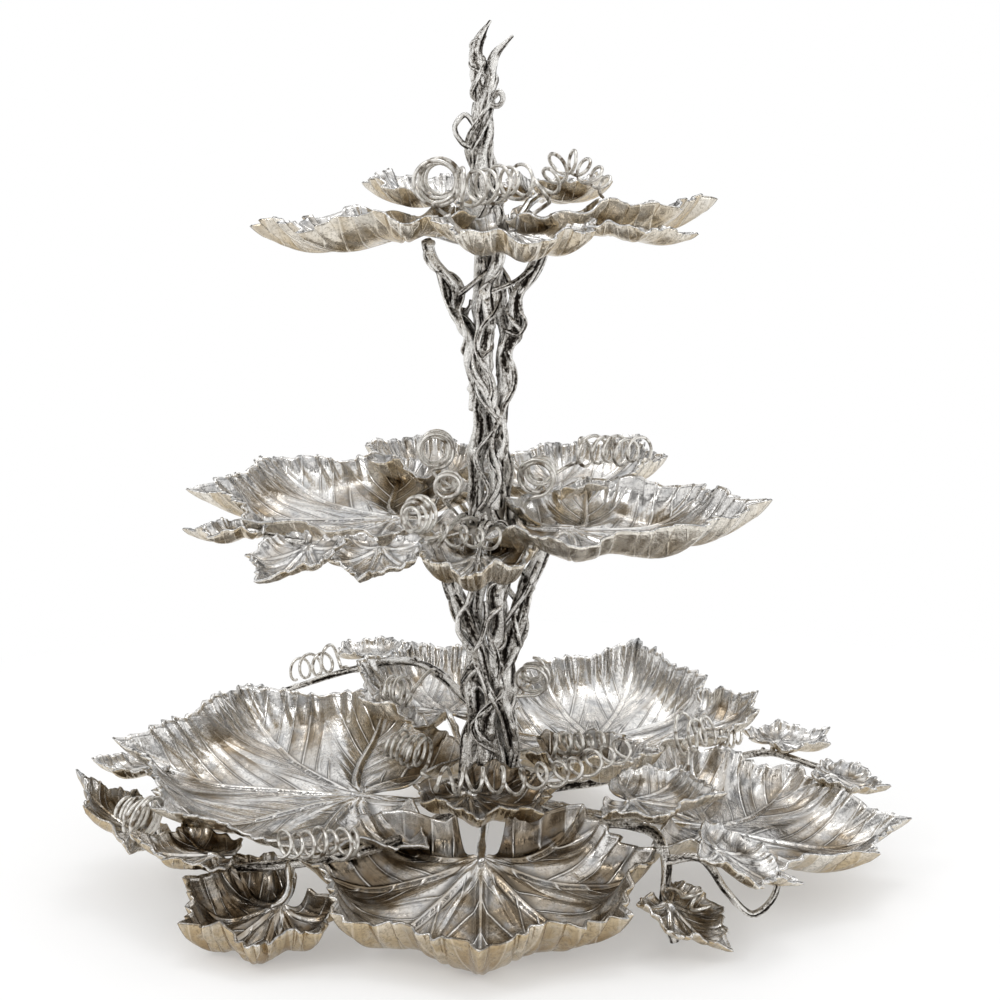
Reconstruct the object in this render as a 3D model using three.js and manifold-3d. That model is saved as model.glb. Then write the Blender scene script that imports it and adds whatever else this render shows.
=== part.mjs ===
// A three-tier silver centrepiece: dished vine leaves, coiled tendrils and a stem of twisted vine stalks.
// Millimetres, +Z up, +X to the right and -Y to the front. The origin is on the table under the stem.
// Each tier is a round plate with leaves soldered round it by their stalks. The stem comes in sections
// that screw together through the plates: a stud on each section's top, a socket in the next one's foot.
import * as THREE from "three";
import { mergeVertices } from "three/addons/utils/BufferGeometryUtils.js";
import Module from "manifold-3d";

const wasm = await Module();
wasm.setup();

// Heights above the table: the top face of each tier's plate, and the finial's tip
const baseHeight = 46;
const middleHeight = 220;
const topHeight = 396;
const tipHeight = 523;

// How far each tier's leaves span from left to right
const baseSpan = 500;
const middleSpan = 334;
const topSpan = 270;

// Sheet, wire and solder
const leafWall = 1.8;
const seatGap = 0.3; // solder line left between two pieces that meet face to face
const filed = 0.28; // how far a stalk or wire is filed back from what it meets
const footFlat = 0.8; // how much is rubbed off a leaf's underside where it stands
const petioleRadius = 2.6;
const smallPetioleRadius = 1.8;
const tendrilRadius = 1.15;
const tendrilTipRadius = 0.75;

// Plates, studs and sockets
const plateThickness = 5;
const basePlateRadius = 25;
const middlePlateRadius = 22;
const topPlateRadius = 19;
const lowerStudRadius = 5;
const upperStudRadius = 4;
const studClearance = 0.35;
const studEngagement = 11; // how far a stud reaches above its plate
const socketHeadroom = 1.2; // space left above a stud in its socket
const lowerFootRadius = 17;
const upperFootRadius = 14;
const finialFootRadius = 11;
const footHeight = 16;
const lowerCapRadius = 14;
const upperCapRadius = 12;
const capHeight = 7;
const nutHeight = 7;
const nutAcrossFlats = 17;
const studBelowNut = 3;
const finialLean = 5;

// Facets
const turnedSides = 12;
const stalkSides = 5;
const sectionSpans = 5.5; // straight runs to a stalk as long as its stem section
const twigSpan = 19; // straight run of a twig, as drawn
const coilSteps = 8; // points to one turn of a tendril
const smoothing = 0.12; // facets that stand out less than this are dressed flat

const degree = Math.PI / 180;
const vec = (x, y, z) => new THREE.Vector3(x, y, z);

// Closed meshes become solids for joining and cutting, with only the positions kept
function toSolid(geometry) {
  const bare = geometry.clone();
  bare.deleteAttribute("normal");
  bare.deleteAttribute("uv");
  const merged = mergeVertices(bare, 1e-4);
  const mesh = new wasm.Mesh({
    numProp: 3,
    vertProperties: merged.attributes.position.array,
    triVerts: new Uint32Array(merged.index.array),
  });
  return new wasm.Manifold(mesh);
}

function toGeometry(solid) {
  const mesh = solid.getMesh();
  const geometry = new THREE.BufferGeometry();
  geometry.setAttribute("position", new THREE.BufferAttribute(mesh.vertProperties, 3));
  geometry.setIndex(new THREE.BufferAttribute(mesh.triVerts, 1));
  return geometry;
}

function geometryFrom(positions, faces) {
  const geometry = new THREE.BufferGeometry();
  geometry.setAttribute("position", new THREE.Float32BufferAttribute(positions, 3));
  geometry.setIndex(faces);
  return geometry;
}

const largestOf = (solid) =>
  solid.decompose().reduce((best, body) => (body.volume() > best.volume() ? body : best));

const join = (solids) => solids.reduce((all, solid) => all.add(solid));

// A solid of revolution about Z from a profile of [radius, height] pairs that starts and ends on the axis
function turned(profile, segments) {
  const points = profile.map(([radius, height]) => new THREE.Vector2(radius, height));
  return toSolid(new THREE.LatheGeometry(points, segments).rotateX(Math.PI / 2));
}

// A tapered wire or stalk along a line of points, with flat ends, grown all round by the amount given
function sweep(line, radiusAt, sides, grow) {
  const count = line.length;
  const tangents = line.map((_, i) =>
    line[Math.min(i + 1, count - 1)].clone().sub(line[Math.max(i - 1, 0)]).normalize());
  const points = line.map((point) => point.clone());
  points[0].addScaledVector(tangents[0], -grow);
  points[count - 1].addScaledVector(tangents[count - 1], grow);
  const side = Math.abs(tangents[0].z) < 0.8 ? vec(0, 0, 1) : vec(1, 0, 0);
  let across = side.clone().cross(tangents[0]).normalize();
  const positions = [];
  points.forEach((point, i) => {
    across = across.clone().addScaledVector(tangents[i], -across.dot(tangents[i])).normalize();
    const up = tangents[i].clone().cross(across);
    for (let k = 0; k < sides; k++) {
      const turn = (2 * Math.PI * k) / sides;
      const radius = radiusAt(i / (count - 1)) + grow;
      positions.push(...point.clone()
        .addScaledVector(across, radius * Math.cos(turn))
        .addScaledVector(up, radius * Math.sin(turn)).toArray());
    }
  });
  const faces = [];
  for (let i = 0; i < count - 1; i++)
    for (let k = 0; k < sides; k++) {
      const a = i * sides + k;
      const b = i * sides + ((k + 1) % sides);
      faces.push(a, b, a + sides, b, b + sides, a + sides);
    }
  const last = (count - 1) * sides;
  for (let k = 1; k < sides - 1; k++) faces.push(0, k + 1, k, last, last + k, last + k + 1);
  return toSolid(geometryFrom(positions, faces));
}

const curved = (points) => new THREE.CatmullRomCurve3(points, false, "centripetal");

// A vine leaf's outline: pointed lobes with rounded bays between them and an open bay at the stalk.
// Angles are from the tip, in degrees, and reaches are shares of the leaf's length.
const grownLeaf = {
  lobes: [[0, 1], [42, 0.93], [84, 0.82], [126, 0.58]],
  bays: [[22, 0.88], [63, 0.8], [106, 0.62], [151, 0.25]],
};
const youngLeaf = {
  lobes: [[0, 1], [54, 0.86], [108, 0.62]],
  bays: [[28, 0.8], [82, 0.66], [150, 0.26]],
};
const lobePoint = 1.3; // above 1 the lobes draw out to a point

// The lobe nearest to an angle, the bay on that side of it, and how far between the two the angle lies
function sector({ lobes, bays }, angle) {
  const a = Math.min(Math.abs(angle), bays[bays.length - 1][0]);
  const i = bays.findIndex(([bay]) => a <= bay);
  const bay = a < lobes[i][0] ? bays[i - 1] : bays[i];
  return { lobe: lobes[i], bay, away: Math.abs(a - lobes[i][0]) / Math.abs(bay[0] - lobes[i][0]) };
}

function outlineReach(outline, angle) {
  const { lobe, bay, away } = sector(outline, angle);
  return bay[1] + (lobe[1] - bay[1]) * (1 - away) ** lobePoint;
}

// Angles of the vertices: every lobe and bay, and the points that divide the spans between them
function outlineAngles({ lobes, bays }, steps) {
  const stops = lobes.flatMap(([lobe], i) => [lobe, bays[i][0]]);
  const half = [0];
  for (let i = 1; i < stops.length; i++)
    for (let k = 1; k <= steps; k++) half.push(stops[i - 1] + ((stops[i] - stops[i - 1]) * k) / steps);
  return [...half.slice(1).reverse().map((a) => -a), ...half];
}

// How far the blade stands above the flat leaf: it dips to a bowl, climbs to its rim, and puffs up
// between the main veins
const bowlPeak = 0.5824; // the most of u - u^6, so that dip is the bowl's real depth
function bladeHeight(leaf, u, angle) {
  const a = Math.abs(angle) * degree;
  const toTip = Math.max(0, Math.cos(a));
  const toStalk = Math.max(0, -Math.cos(a));
  const { tip, side, stalk } = leaf.rise;
  const rise = tip * toTip ** 2 + side * Math.sin(a) ** 2 + stalk * toStalk ** 2;
  const dip = leaf.dip * (0.62 + 0.38 * Math.cos(a));
  const offVein = Math.sin((Math.PI / 2) * sector(leaf.outline, angle).away) ** 2;
  return rise * u ** 2 - (dip * (u - u ** 6)) / bowlPeak + leaf.puff * offVein * u * (1.25 - u) * 2.6;
}

function bladePoint(leaf, u, angle) {
  const reach = u * outlineReach(leaf.outline, angle) * leaf.length;
  const spread = angle > 0 ? leaf.spread[0] : leaf.spread[1];
  return vec(reach * Math.cos(angle * degree), reach * Math.sin(angle * degree) * spread,
    bladeHeight(leaf, u, angle));
}

// The blade as one closed shell in its own frame: stalk joint at the origin, tip along +X, hollow side up
function blade(leaf, grow) {
  const half = leafWall / 2 + grow;
  const middle = [vec(0, 0, 0)];
  const normals = [vec(0, 0, 1)];
  const rings = leaf.rings.map(([u, steps]) => {
    const angles = outlineAngles(leaf.outline, steps);
    for (const angle of angles) {
      const point = bladePoint(leaf, u, angle);
      const outward = bladePoint(leaf, u + 0.02, angle).sub(point);
      const around = bladePoint(leaf, u, angle + 1.5).sub(bladePoint(leaf, u, angle - 1.5));
      middle.push(point);
      normals.push(outward.cross(around).normalize());
    }
    return { first: middle.length - angles.length, last: middle.length - 1, steps };
  });
  const upper = [];
  for (let a = rings[0].first; a < rings[0].last; a++) upper.push(0, a, a + 1);
  rings.slice(1).forEach((outer, i) => stitch(upper, rings[i], outer));
  const rim = rimLoop(rings);
  const around = (i) => middle[rim[(i + rim.length) % rim.length]];
  const edge = rim.map((at, i) =>
    around(i + 1).clone().sub(around(i - 1)).cross(normals[at]).setLength(grow * 1.6));
  rim.forEach((at, i) => middle[at].add(edge[i]));
  const points = [half, -half].flatMap((offset) =>
    middle.map((point, i) => point.clone().addScaledVector(normals[i], offset)));
  const count = middle.length;
  const under = upper.map((at) => at + count).reverse();
  const wall = rim.flatMap((a, i) => {
    const b = rim[(i + 1) % rim.length];
    return [a, a + count, b + count, a, b + count, b];
  });
  return toSolid(geometryFrom(points.flatMap((p) => p.toArray()), [...upper, ...under, ...wall]));
}

// Facets between two rings, where the outer one has as many steps as the inner or twice as many
function stitch(faces, inner, outer) {
  const ratio = outer.steps / inner.steps;
  for (let a = inner.first, b = outer.first; a < inner.last; a++, b += ratio) {
    faces.push(a, b, b + 1, a, b + 1, a + 1);
    if (ratio === 2) faces.push(a + 1, b + 1, b + 2);
  }
}

// Vertex numbers round the edge of the blade's upper face, from the stalk joint out and back to it
function rimLoop(rings) {
  const outer = rings[rings.length - 1];
  const edge = Array.from({ length: outer.last - outer.first + 1 }, (_, k) => outer.first + k);
  const inner = rings.slice(0, -1);
  return [0, ...inner.map((ring) => ring.first), ...edge, ...inner.reverse().map((ring) => ring.last)];
}

const leafMatrix = (leaf, lift) => {
  const turn = new THREE.Euler(leaf.bank * degree, -leaf.pitch * degree, leaf.heading * degree, "ZYX");
  return new THREE.Matrix4().compose(leaf.joint.clone().setZ(leaf.joint.z + lift),
    new THREE.Quaternion().setFromEuler(turn), vec(1, 1, 1));
};

function scaled(leaf, scale) {
  const { tip, side, stalk } = leaf.rise;
  return { ...leaf, joint: leaf.joint.clone().multiplyScalar(scale), length: leaf.length * scale,
    rise: { tip: tip * scale, side: side * scale, stalk: stalk * scale }, dip: leaf.dip * scale,
    puff: leaf.puff * scale };
}

// Every finished piece is kept with the same shape grown by the solder line. A new piece is filed back
// to clear the ones already in place, as a silversmith fits a stalk to a branch.
const placed = [];

function touches(a, b) {
  const p = a.boundingBox();
  const q = b.boundingBox();
  return [0, 1, 2].every((k) => p.min[k] < q.max[k] && q.min[k] < p.max[k]);
}

function fit(shape, others) {
  let solid = shape;
  for (const other of others) if (touches(solid, other)) solid = solid.subtract(other);
  return largestOf(solid).simplify(smoothing);
}

const metal = (name, color, roughness) =>
  new THREE.MeshStandardMaterial({ name, color, roughness, metalness: 1 });
const silver = metal("bright_silver", 0xd9d5cd, 0.22);
const oxidised = metal("oxidised_silver", 0x9b9893, 0.38);

const centrepiece = new THREE.Group();
const sections = {};
for (const name of ["base", "middle_tier", "upper_stem", "top_tier", "finial"]) {
  sections[name] = new THREE.Group();
  centrepiece.add(sections[name]);
}

function place(name, section, material, make, matrix = new THREE.Matrix4()) {
  const solid = fit(make(0), placed);
  const mesh = new THREE.Mesh(toGeometry(solid).applyMatrix4(matrix.clone().invert()), material);
  mesh.name = name;
  matrix.decompose(mesh.position, mesh.quaternion, mesh.scale);
  sections[section].add(mesh);
  placed.push(make(filed));
}

// Plates, with a bore for the stud that passes through
function plate(radius, height, boreRadius) {
  return (grow) => turned([
    [boreRadius - grow, height - plateThickness - grow],
    [radius - 1 + grow, height - plateThickness - grow],
    [radius + grow, height - 1.5 + grow],
    [radius - 1.5 + grow, height + grow],
    [boreRadius - grow, height + grow],
    [boreRadius - grow, height - plateThickness - grow],
  ], turnedSides);
}

// Stems. A stalk winds round the stem's middle from one height to another, both in shares of its section:
// out gives its distance from the middle and thick its radius along the way, in shares of the foot's radius.
function stalkPath(stalk, section, grow) {
  const spans = Math.round(Math.abs(stalk.to - stalk.from) * sectionSpans);
  const points = Array.from({ length: spans + 1 }, (_, i) => {
    const s = i / spans;
    const out = blend(stalk.out, s) * section.radius;
    const turn = (stalk.angle + stalk.twist * s) * degree;
    const lean = section.lean * Math.sin(Math.PI * s * 0.8);
    const share = stalk.from + (stalk.to - stalk.from) * s;
    return vec(out * Math.cos(turn) - lean, out * Math.sin(turn), heightIn(section, share));
  });
  const knotty = (s) => 1 + 0.1 * Math.sin(s * 19 + stalk.angle);
  return sweep(points, (s) => blend(stalk.thick, s) * section.radius * knotty(s), stalkSides, grow);
}

const heightIn = (section, share) => section.foot + (section.head - section.foot) * share;

// Smooth curve through values at even shares
function blend(values, s) {
  const at = Math.min(values.length - 1.000001, s * (values.length - 1));
  const i = Math.floor(at);
  const f = at - i;
  const ease = f * f * (3 - 2 * f);
  return values[i] + (values[i + 1] - values[i]) * ease;
}

function boss(radius, height, socketRadius) {
  return (grow) => turned([
    [0, height + socketDepth - grow],
    [socketRadius - grow, height + socketDepth - grow],
    [socketRadius - grow, height - grow],
    [radius - 1 + grow, height - grow],
    [radius + grow, height + 2],
    [radius * 0.7 + grow, height + footHeight + grow],
    [0, height + footHeight + grow],
  ], turnedSides);
}

// The stem's foot, with a threaded stud below it that the nut pulls down
function footing(radius, height, studRadius, studEnd) {
  return (grow) => turned([
    [0, studEnd - grow],
    [studRadius - 1 + grow, studEnd - grow],
    [studRadius + grow, studEnd + 1],
    [studRadius + grow, height - grow],
    [radius - 1 + grow, height - grow],
    [radius + grow, height + 2],
    [radius * 0.7 + grow, height + footHeight + grow],
    [0, height + footHeight + grow],
  ], turnedSides);
}

function nut(top) {
  return (grow) => {
    const across = nutAcrossFlats / 2 / Math.cos(Math.PI / 6) + grow;
    const body = toSolid(new THREE.CylinderGeometry(across, across, nutHeight + 2 * grow, 6)
      .rotateX(Math.PI / 2).translate(0, 0, top - nutHeight / 2));
    const inside = lowerStudRadius + studClearance - grow;
    const bore = new THREE.CylinderGeometry(inside, inside, 4 * nutHeight, turnedSides).rotateX(Math.PI / 2);
    return body.subtract(toSolid(bore.translate(0, 0, top)));
  };
}

function cap(radius, shoulder, studRadius, studTop) {
  return (grow) => turned([
    [0, shoulder - capHeight - grow],
    [radius * 0.75 + grow, shoulder - capHeight - grow],
    [radius + grow, shoulder - 2],
    [radius + grow, shoulder + grow],
    [studRadius + grow, shoulder + grow],
    [studRadius + grow, studTop - 1 + grow],
    [studRadius - 1 + grow, studTop + grow],
    [0, studTop + grow],
  ], turnedSides);
}

const lowerFoot = baseHeight + seatGap;
const lowerShoulder = middleHeight - plateThickness - seatGap;
const upperFoot = middleHeight + seatGap;
const upperShoulder = topHeight - plateThickness - seatGap;
const finialFoot = topHeight + seatGap;
const socketDepth = studEngagement + socketHeadroom;

const lowerSection = { foot: lowerFoot, head: lowerShoulder, radius: lowerFootRadius, lean: 0 };
const upperSection = { foot: upperFoot, head: upperShoulder, radius: upperFootRadius, lean: 0 };
const finialSection = { foot: finialFoot, head: tipHeight, radius: finialFootRadius, lean: finialLean };

const lowerStalks = [
  { angle: 250, twist: 115, from: 0.048, to: 0.982, out: [0.706, 0.5, 0.382, 0.412],
    thick: [0.382, 0.324, 0.282, 0.265] },
  { angle: 10, twist: 120, from: 0.048, to: 0.982, out: [0.735, 0.5, 0.382, 0.412],
    thick: [0.365, 0.318, 0.271, 0.265] },
  { angle: 130, twist: 110, from: 0.048, to: 0.982, out: [0.706, 0.5, 0.382, 0.412],
    thick: [0.365, 0.318, 0.271, 0.265] },
  { angle: 215, twist: -45, from: 0.024, to: 0.917, out: [0.882, 0.647, 0.559, 1.294, 2.294],
    thick: [0.294, 0.306, 0.318, 0.294, 0.271] },
  { angle: 335, twist: 25, from: 0.024, to: 0.911, out: [0.941, 0.676, 0.618, 1.294, 2.176],
    thick: [0.271, 0.294, 0.306, 0.282, 0.259] },
  { angle: 95, twist: -10, from: 0.356, to: 0.917, out: [0.471, 0.588, 1.176, 2.118],
    thick: [0.282, 0.271, 0.259, 0.235] },
  { angle: 262, twist: 28, from: 0.392, to: 0.923, out: [0.529, 0.588, 1.176, 1.941],
    thick: [0.259, 0.259, 0.247, 0.224] },
  { angle: 165, twist: 205, from: 0.846, to: 0.024, out: [1.588, 0.853, 0.824, 0.824, 1.059],
    thick: [0.176, 0.188, 0.2, 0.188, 0.176] },
];
const upperStalks = [
  { angle: 200, twist: 130, from: 0.053, to: 0.982, out: [0.607, 0.464, 0.429, 0.429],
    thick: [0.357, 0.329, 0.3, 0.286] },
  { angle: 320, twist: 130, from: 0.053, to: 0.982, out: [0.607, 0.464, 0.429, 0.429],
    thick: [0.357, 0.329, 0.3, 0.286] },
  { angle: 80, twist: 130, from: 0.053, to: 0.982, out: [0.607, 0.464, 0.429, 0.429],
    thick: [0.357, 0.329, 0.3, 0.286] },
  { angle: 190, twist: -8, from: 0.411, to: 0.93, out: [0.571, 0.786, 1.571, 2.714],
    thick: [0.3, 0.329, 0.3, 0.257] },
  { angle: 345, twist: 10, from: 0.364, to: 0.93, out: [0.571, 0.714, 1.214, 2.357],
    thick: [0.286, 0.314, 0.286, 0.257] },
  { angle: 100, twist: -12, from: 0.44, to: 0.93, out: [0.571, 0.714, 1.214, 2.143],
    thick: [0.286, 0.3, 0.271, 0.243] },
  { angle: 250, twist: 30, from: 0.481, to: 0.941, out: [0.571, 0.714, 1, 1.857],
    thick: [0.271, 0.271, 0.257, 0.229] },
  { angle: 150, twist: 260, from: 0.765, to: 0.035, out: [1.286, 0.821, 0.786, 0.786, 0.857],
    thick: [0.186, 0.2, 0.2, 0.186, 0.171] },
];
const finialStalks = [
  { angle: 180, twist: 250, from: 0.047, to: 0.811, out: [0.418, 0.327, 0.273, 0.218],
    thick: [0.455, 0.436, 0.382, 0.182] },
  { angle: 300, twist: 260, from: 0.047, to: 0.716, out: [0.418, 0.327, 0.273, 0.218],
    thick: [0.455, 0.436, 0.382, 0.236] },
  { angle: 60, twist: 265, from: 0.047, to: 0.747, out: [0.418, 0.327, 0.273, 0.218],
    thick: [0.455, 0.436, 0.382, 0.218] },
];

// A stem section lifts straight off its tier, so the tier's leaves and tendrils are filed back from its path
function keepPathClear(section) {
  const top = heightIn(section, 0.65);
  const path = new THREE.CylinderGeometry(section.radius * 1.1, section.radius * 1.1, top - section.foot, 24);
  placed.push(toSolid(path.rotateX(Math.PI / 2).translate(0, 0, (top + section.foot) / 2)));
}

const stemOf = (section, stalks, ...ends) => (grow) =>
  join([...ends.map((end) => end(grow)), ...stalks.map((stalk) => stalkPath(stalk, section, grow))]);

// The finial's two shoots at the tip, one hooked over and one leaning out, and the loop at its side, with
// x and y in shares of the foot's radius and heights in shares of the section
const shoot = (points, thick, spans) => (grow) => {
  const { radius } = finialSection;
  const line = points.map(([x, y, share]) => vec(x * radius, y * radius, heightIn(finialSection, share)));
  return sweep(curved(line).getSpacedPoints(spans), (s) => blend(thick, s) * radius, stalkSides, grow);
};
const tipHook = shoot([[-0.45, 0, 0.637], [-0.64, 0, 0.795], [-0.55, -0.09, 0.905], [0, -0.09, 0.992]],
  [0.36, 0.33, 0.25, 0.1], 6);
const tipFork = shoot([[-0.27, 0.09, 0.637], [0.18, 0.09, 0.779], [1.09, 0, 0.921]], [0.31, 0.24, 0.08], 4);
const sideLoop = shoot([[-0.45, -0.18, 0.395], [-1.45, -0.36, 0.426], [-1.91, -0.45, 0.505],
  [-1.36, -0.36, 0.56], [-0.64, -0.27, 0.489]], [0.145, 0.136, 0.127, 0.136, 0.164], 10);

// Twigs, leaves and tendrils are drawn for tiers that span 500, 334 and 270 mm and scaled to their span
const tiers = {
  base: { section: "base", height: baseHeight, radius: basePlateRadius, scale: baseSpan / 500 },
  middle: { section: "middle_tier", height: middleHeight, radius: middlePlateRadius,
    scale: middleSpan / 334 },
  top: { section: "top_tier", height: topHeight, radius: topPlateRadius, scale: topSpan / 270 },
};

function inTier(tier, point) {
  const { scale, height } = tiers[tier];
  return vec(point.x * scale, point.y * scale, point.z * scale + height);
}
const around = (radius, angle, z) =>
  vec(radius * Math.cos(angle * degree), radius * Math.sin(angle * degree), z);
const onRim = (tier, angle) => around(tiers[tier].radius - 1, angle, tiers[tier].height - plateThickness / 2);
const onTop = (tier, angle) => around(tiers[tier].radius - 2.5, angle, tiers[tier].height - 1.5);

// Twigs: side shoots of the vine that carry leaves and tendrils out. Each is soldered to its tier's plate
// at an angle from +X, or to the stem, and its points' heights are measured from the plate's top face.
const twigs = {
  front_left: { tier: "base", angle: 227, thick: [3.4, 3, 2.6, 2],
    points: [vec(-44, -62, -6), vec(-88, -108, -5), vec(-150, -94, -16), vec(-196, -64, -14),
      vec(-206, -34, 4), vec(-200, -14, 15)] },
  back_left: { tier: "base", root: vec(-8, 8, 52), thick: [3.2, 2.8, 2.4, 1.8],
    points: [vec(-46, 58, 68), vec(-96, 116, 50), vec(-146, 108, 36)] },
  right_front: { tier: "base", angle: 322, thick: [3.2, 3, 2.8, 2.6], stands: true,
    points: [vec(60, -62, 2), vec(96, -108, 8), vec(101, -124, -2), vec(99, -132, -24),
      vec(105, -137, -47)],
    side: [vec(100, -124, -2), vec(119, -134, 3), vec(134, -141, -14), vec(148, -143, -26),
      vec(160, -141, -16), vec(163, -138, -3)] },
  right: { tier: "base", angle: 15, thick: [3.2, 2.8, 2.4, 2],
    points: [vec(84, 26, 0), vec(146, 46, 4), vec(184, 48, 10), vec(212, 24, 8)] },
  middle: { tier: "middle", angle: 223, thick: [2.6, 2.4, 2.1, 1.7],
    points: [vec(-34, -56, -8), vec(-70, -80, -4), vec(-110, -74, 0), vec(-134, -60, 2)] },
};
const twigLine = (points, tier) => {
  const curve = curved(points);
  return curve.getSpacedPoints(Math.round(curve.getLength() / (twigSpan * tiers[tier].scale)));
};
for (const twig of Object.values(twigs)) {
  const root = twig.root ? inTier(twig.tier, twig.root) : onRim(twig.tier, twig.angle);
  twig.line = twigLine([root, ...twig.points.map((point) => inTier(twig.tier, point))], twig.tier);
  if (twig.side) twig.sideLine = twigLine(twig.side.map((point) => inTier(twig.tier, point)), twig.tier);
}

function twigShape(twig) {
  return (grow) => {
    const { scale } = tiers[twig.tier];
    const main = sweep(twig.line, (s) => blend(twig.thick, s) * scale, 6, grow);
    const whole = twig.side ? main.add(sweep(twig.sideLine, (s) => (2.4 - s * 0.6) * scale, 5, grow)) : main;
    return twig.stands ? whole.trimByPlane([0, 0, 1], grow ? -10 : 0) : whole;
  };
}

const nearest = (twig, point) => [...twig.line, ...(twig.sideLine ?? [])]
  .reduce((best, at) => (at.distanceTo(point) < best.distanceTo(point) ? at : best)).clone();

// Leaves: joint is where the stalk meets the blade, its height measured from the tier's plate. heading is
// the way the tip points in plan, from +X. spread widens each side, left then right, and a positive bank
// lifts the left one. rings are shares of the reach with a vertex ring, and its steps from lobe to bay.
// twig says what the stalk is soldered to when it isn't the plate.
const large = { outline: grownLeaf, rings: [[0.36, 1], [0.7, 1], [1, 2]], puff: 4, stalk: petioleRadius,
  stalkSides: 5, bank: 0 };
const deep = { ...large, rings: [[0.42, 1], [0.74, 1], [0.9, 1], [1, 2]] };
const upper = { ...large, rings: [[0.4, 1], [0.75, 1], [1, 1]], puff: 3 };
const plain = { ...large, rings: [[0.62, 1], [1, 1]], puff: 3 };
const medium = { ...large, rings: [[0.55, 1], [1, 2]], puff: 3 };
const small = { outline: youngLeaf, rings: [[0.6, 1], [1, 1]], puff: 1.5, stalk: smallPetioleRadius,
  stalkSides: 4, dip: 6, bank: 0, spread: [0.9, 0.9], rise: { tip: 1, side: 4, stalk: 2 } };

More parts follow.
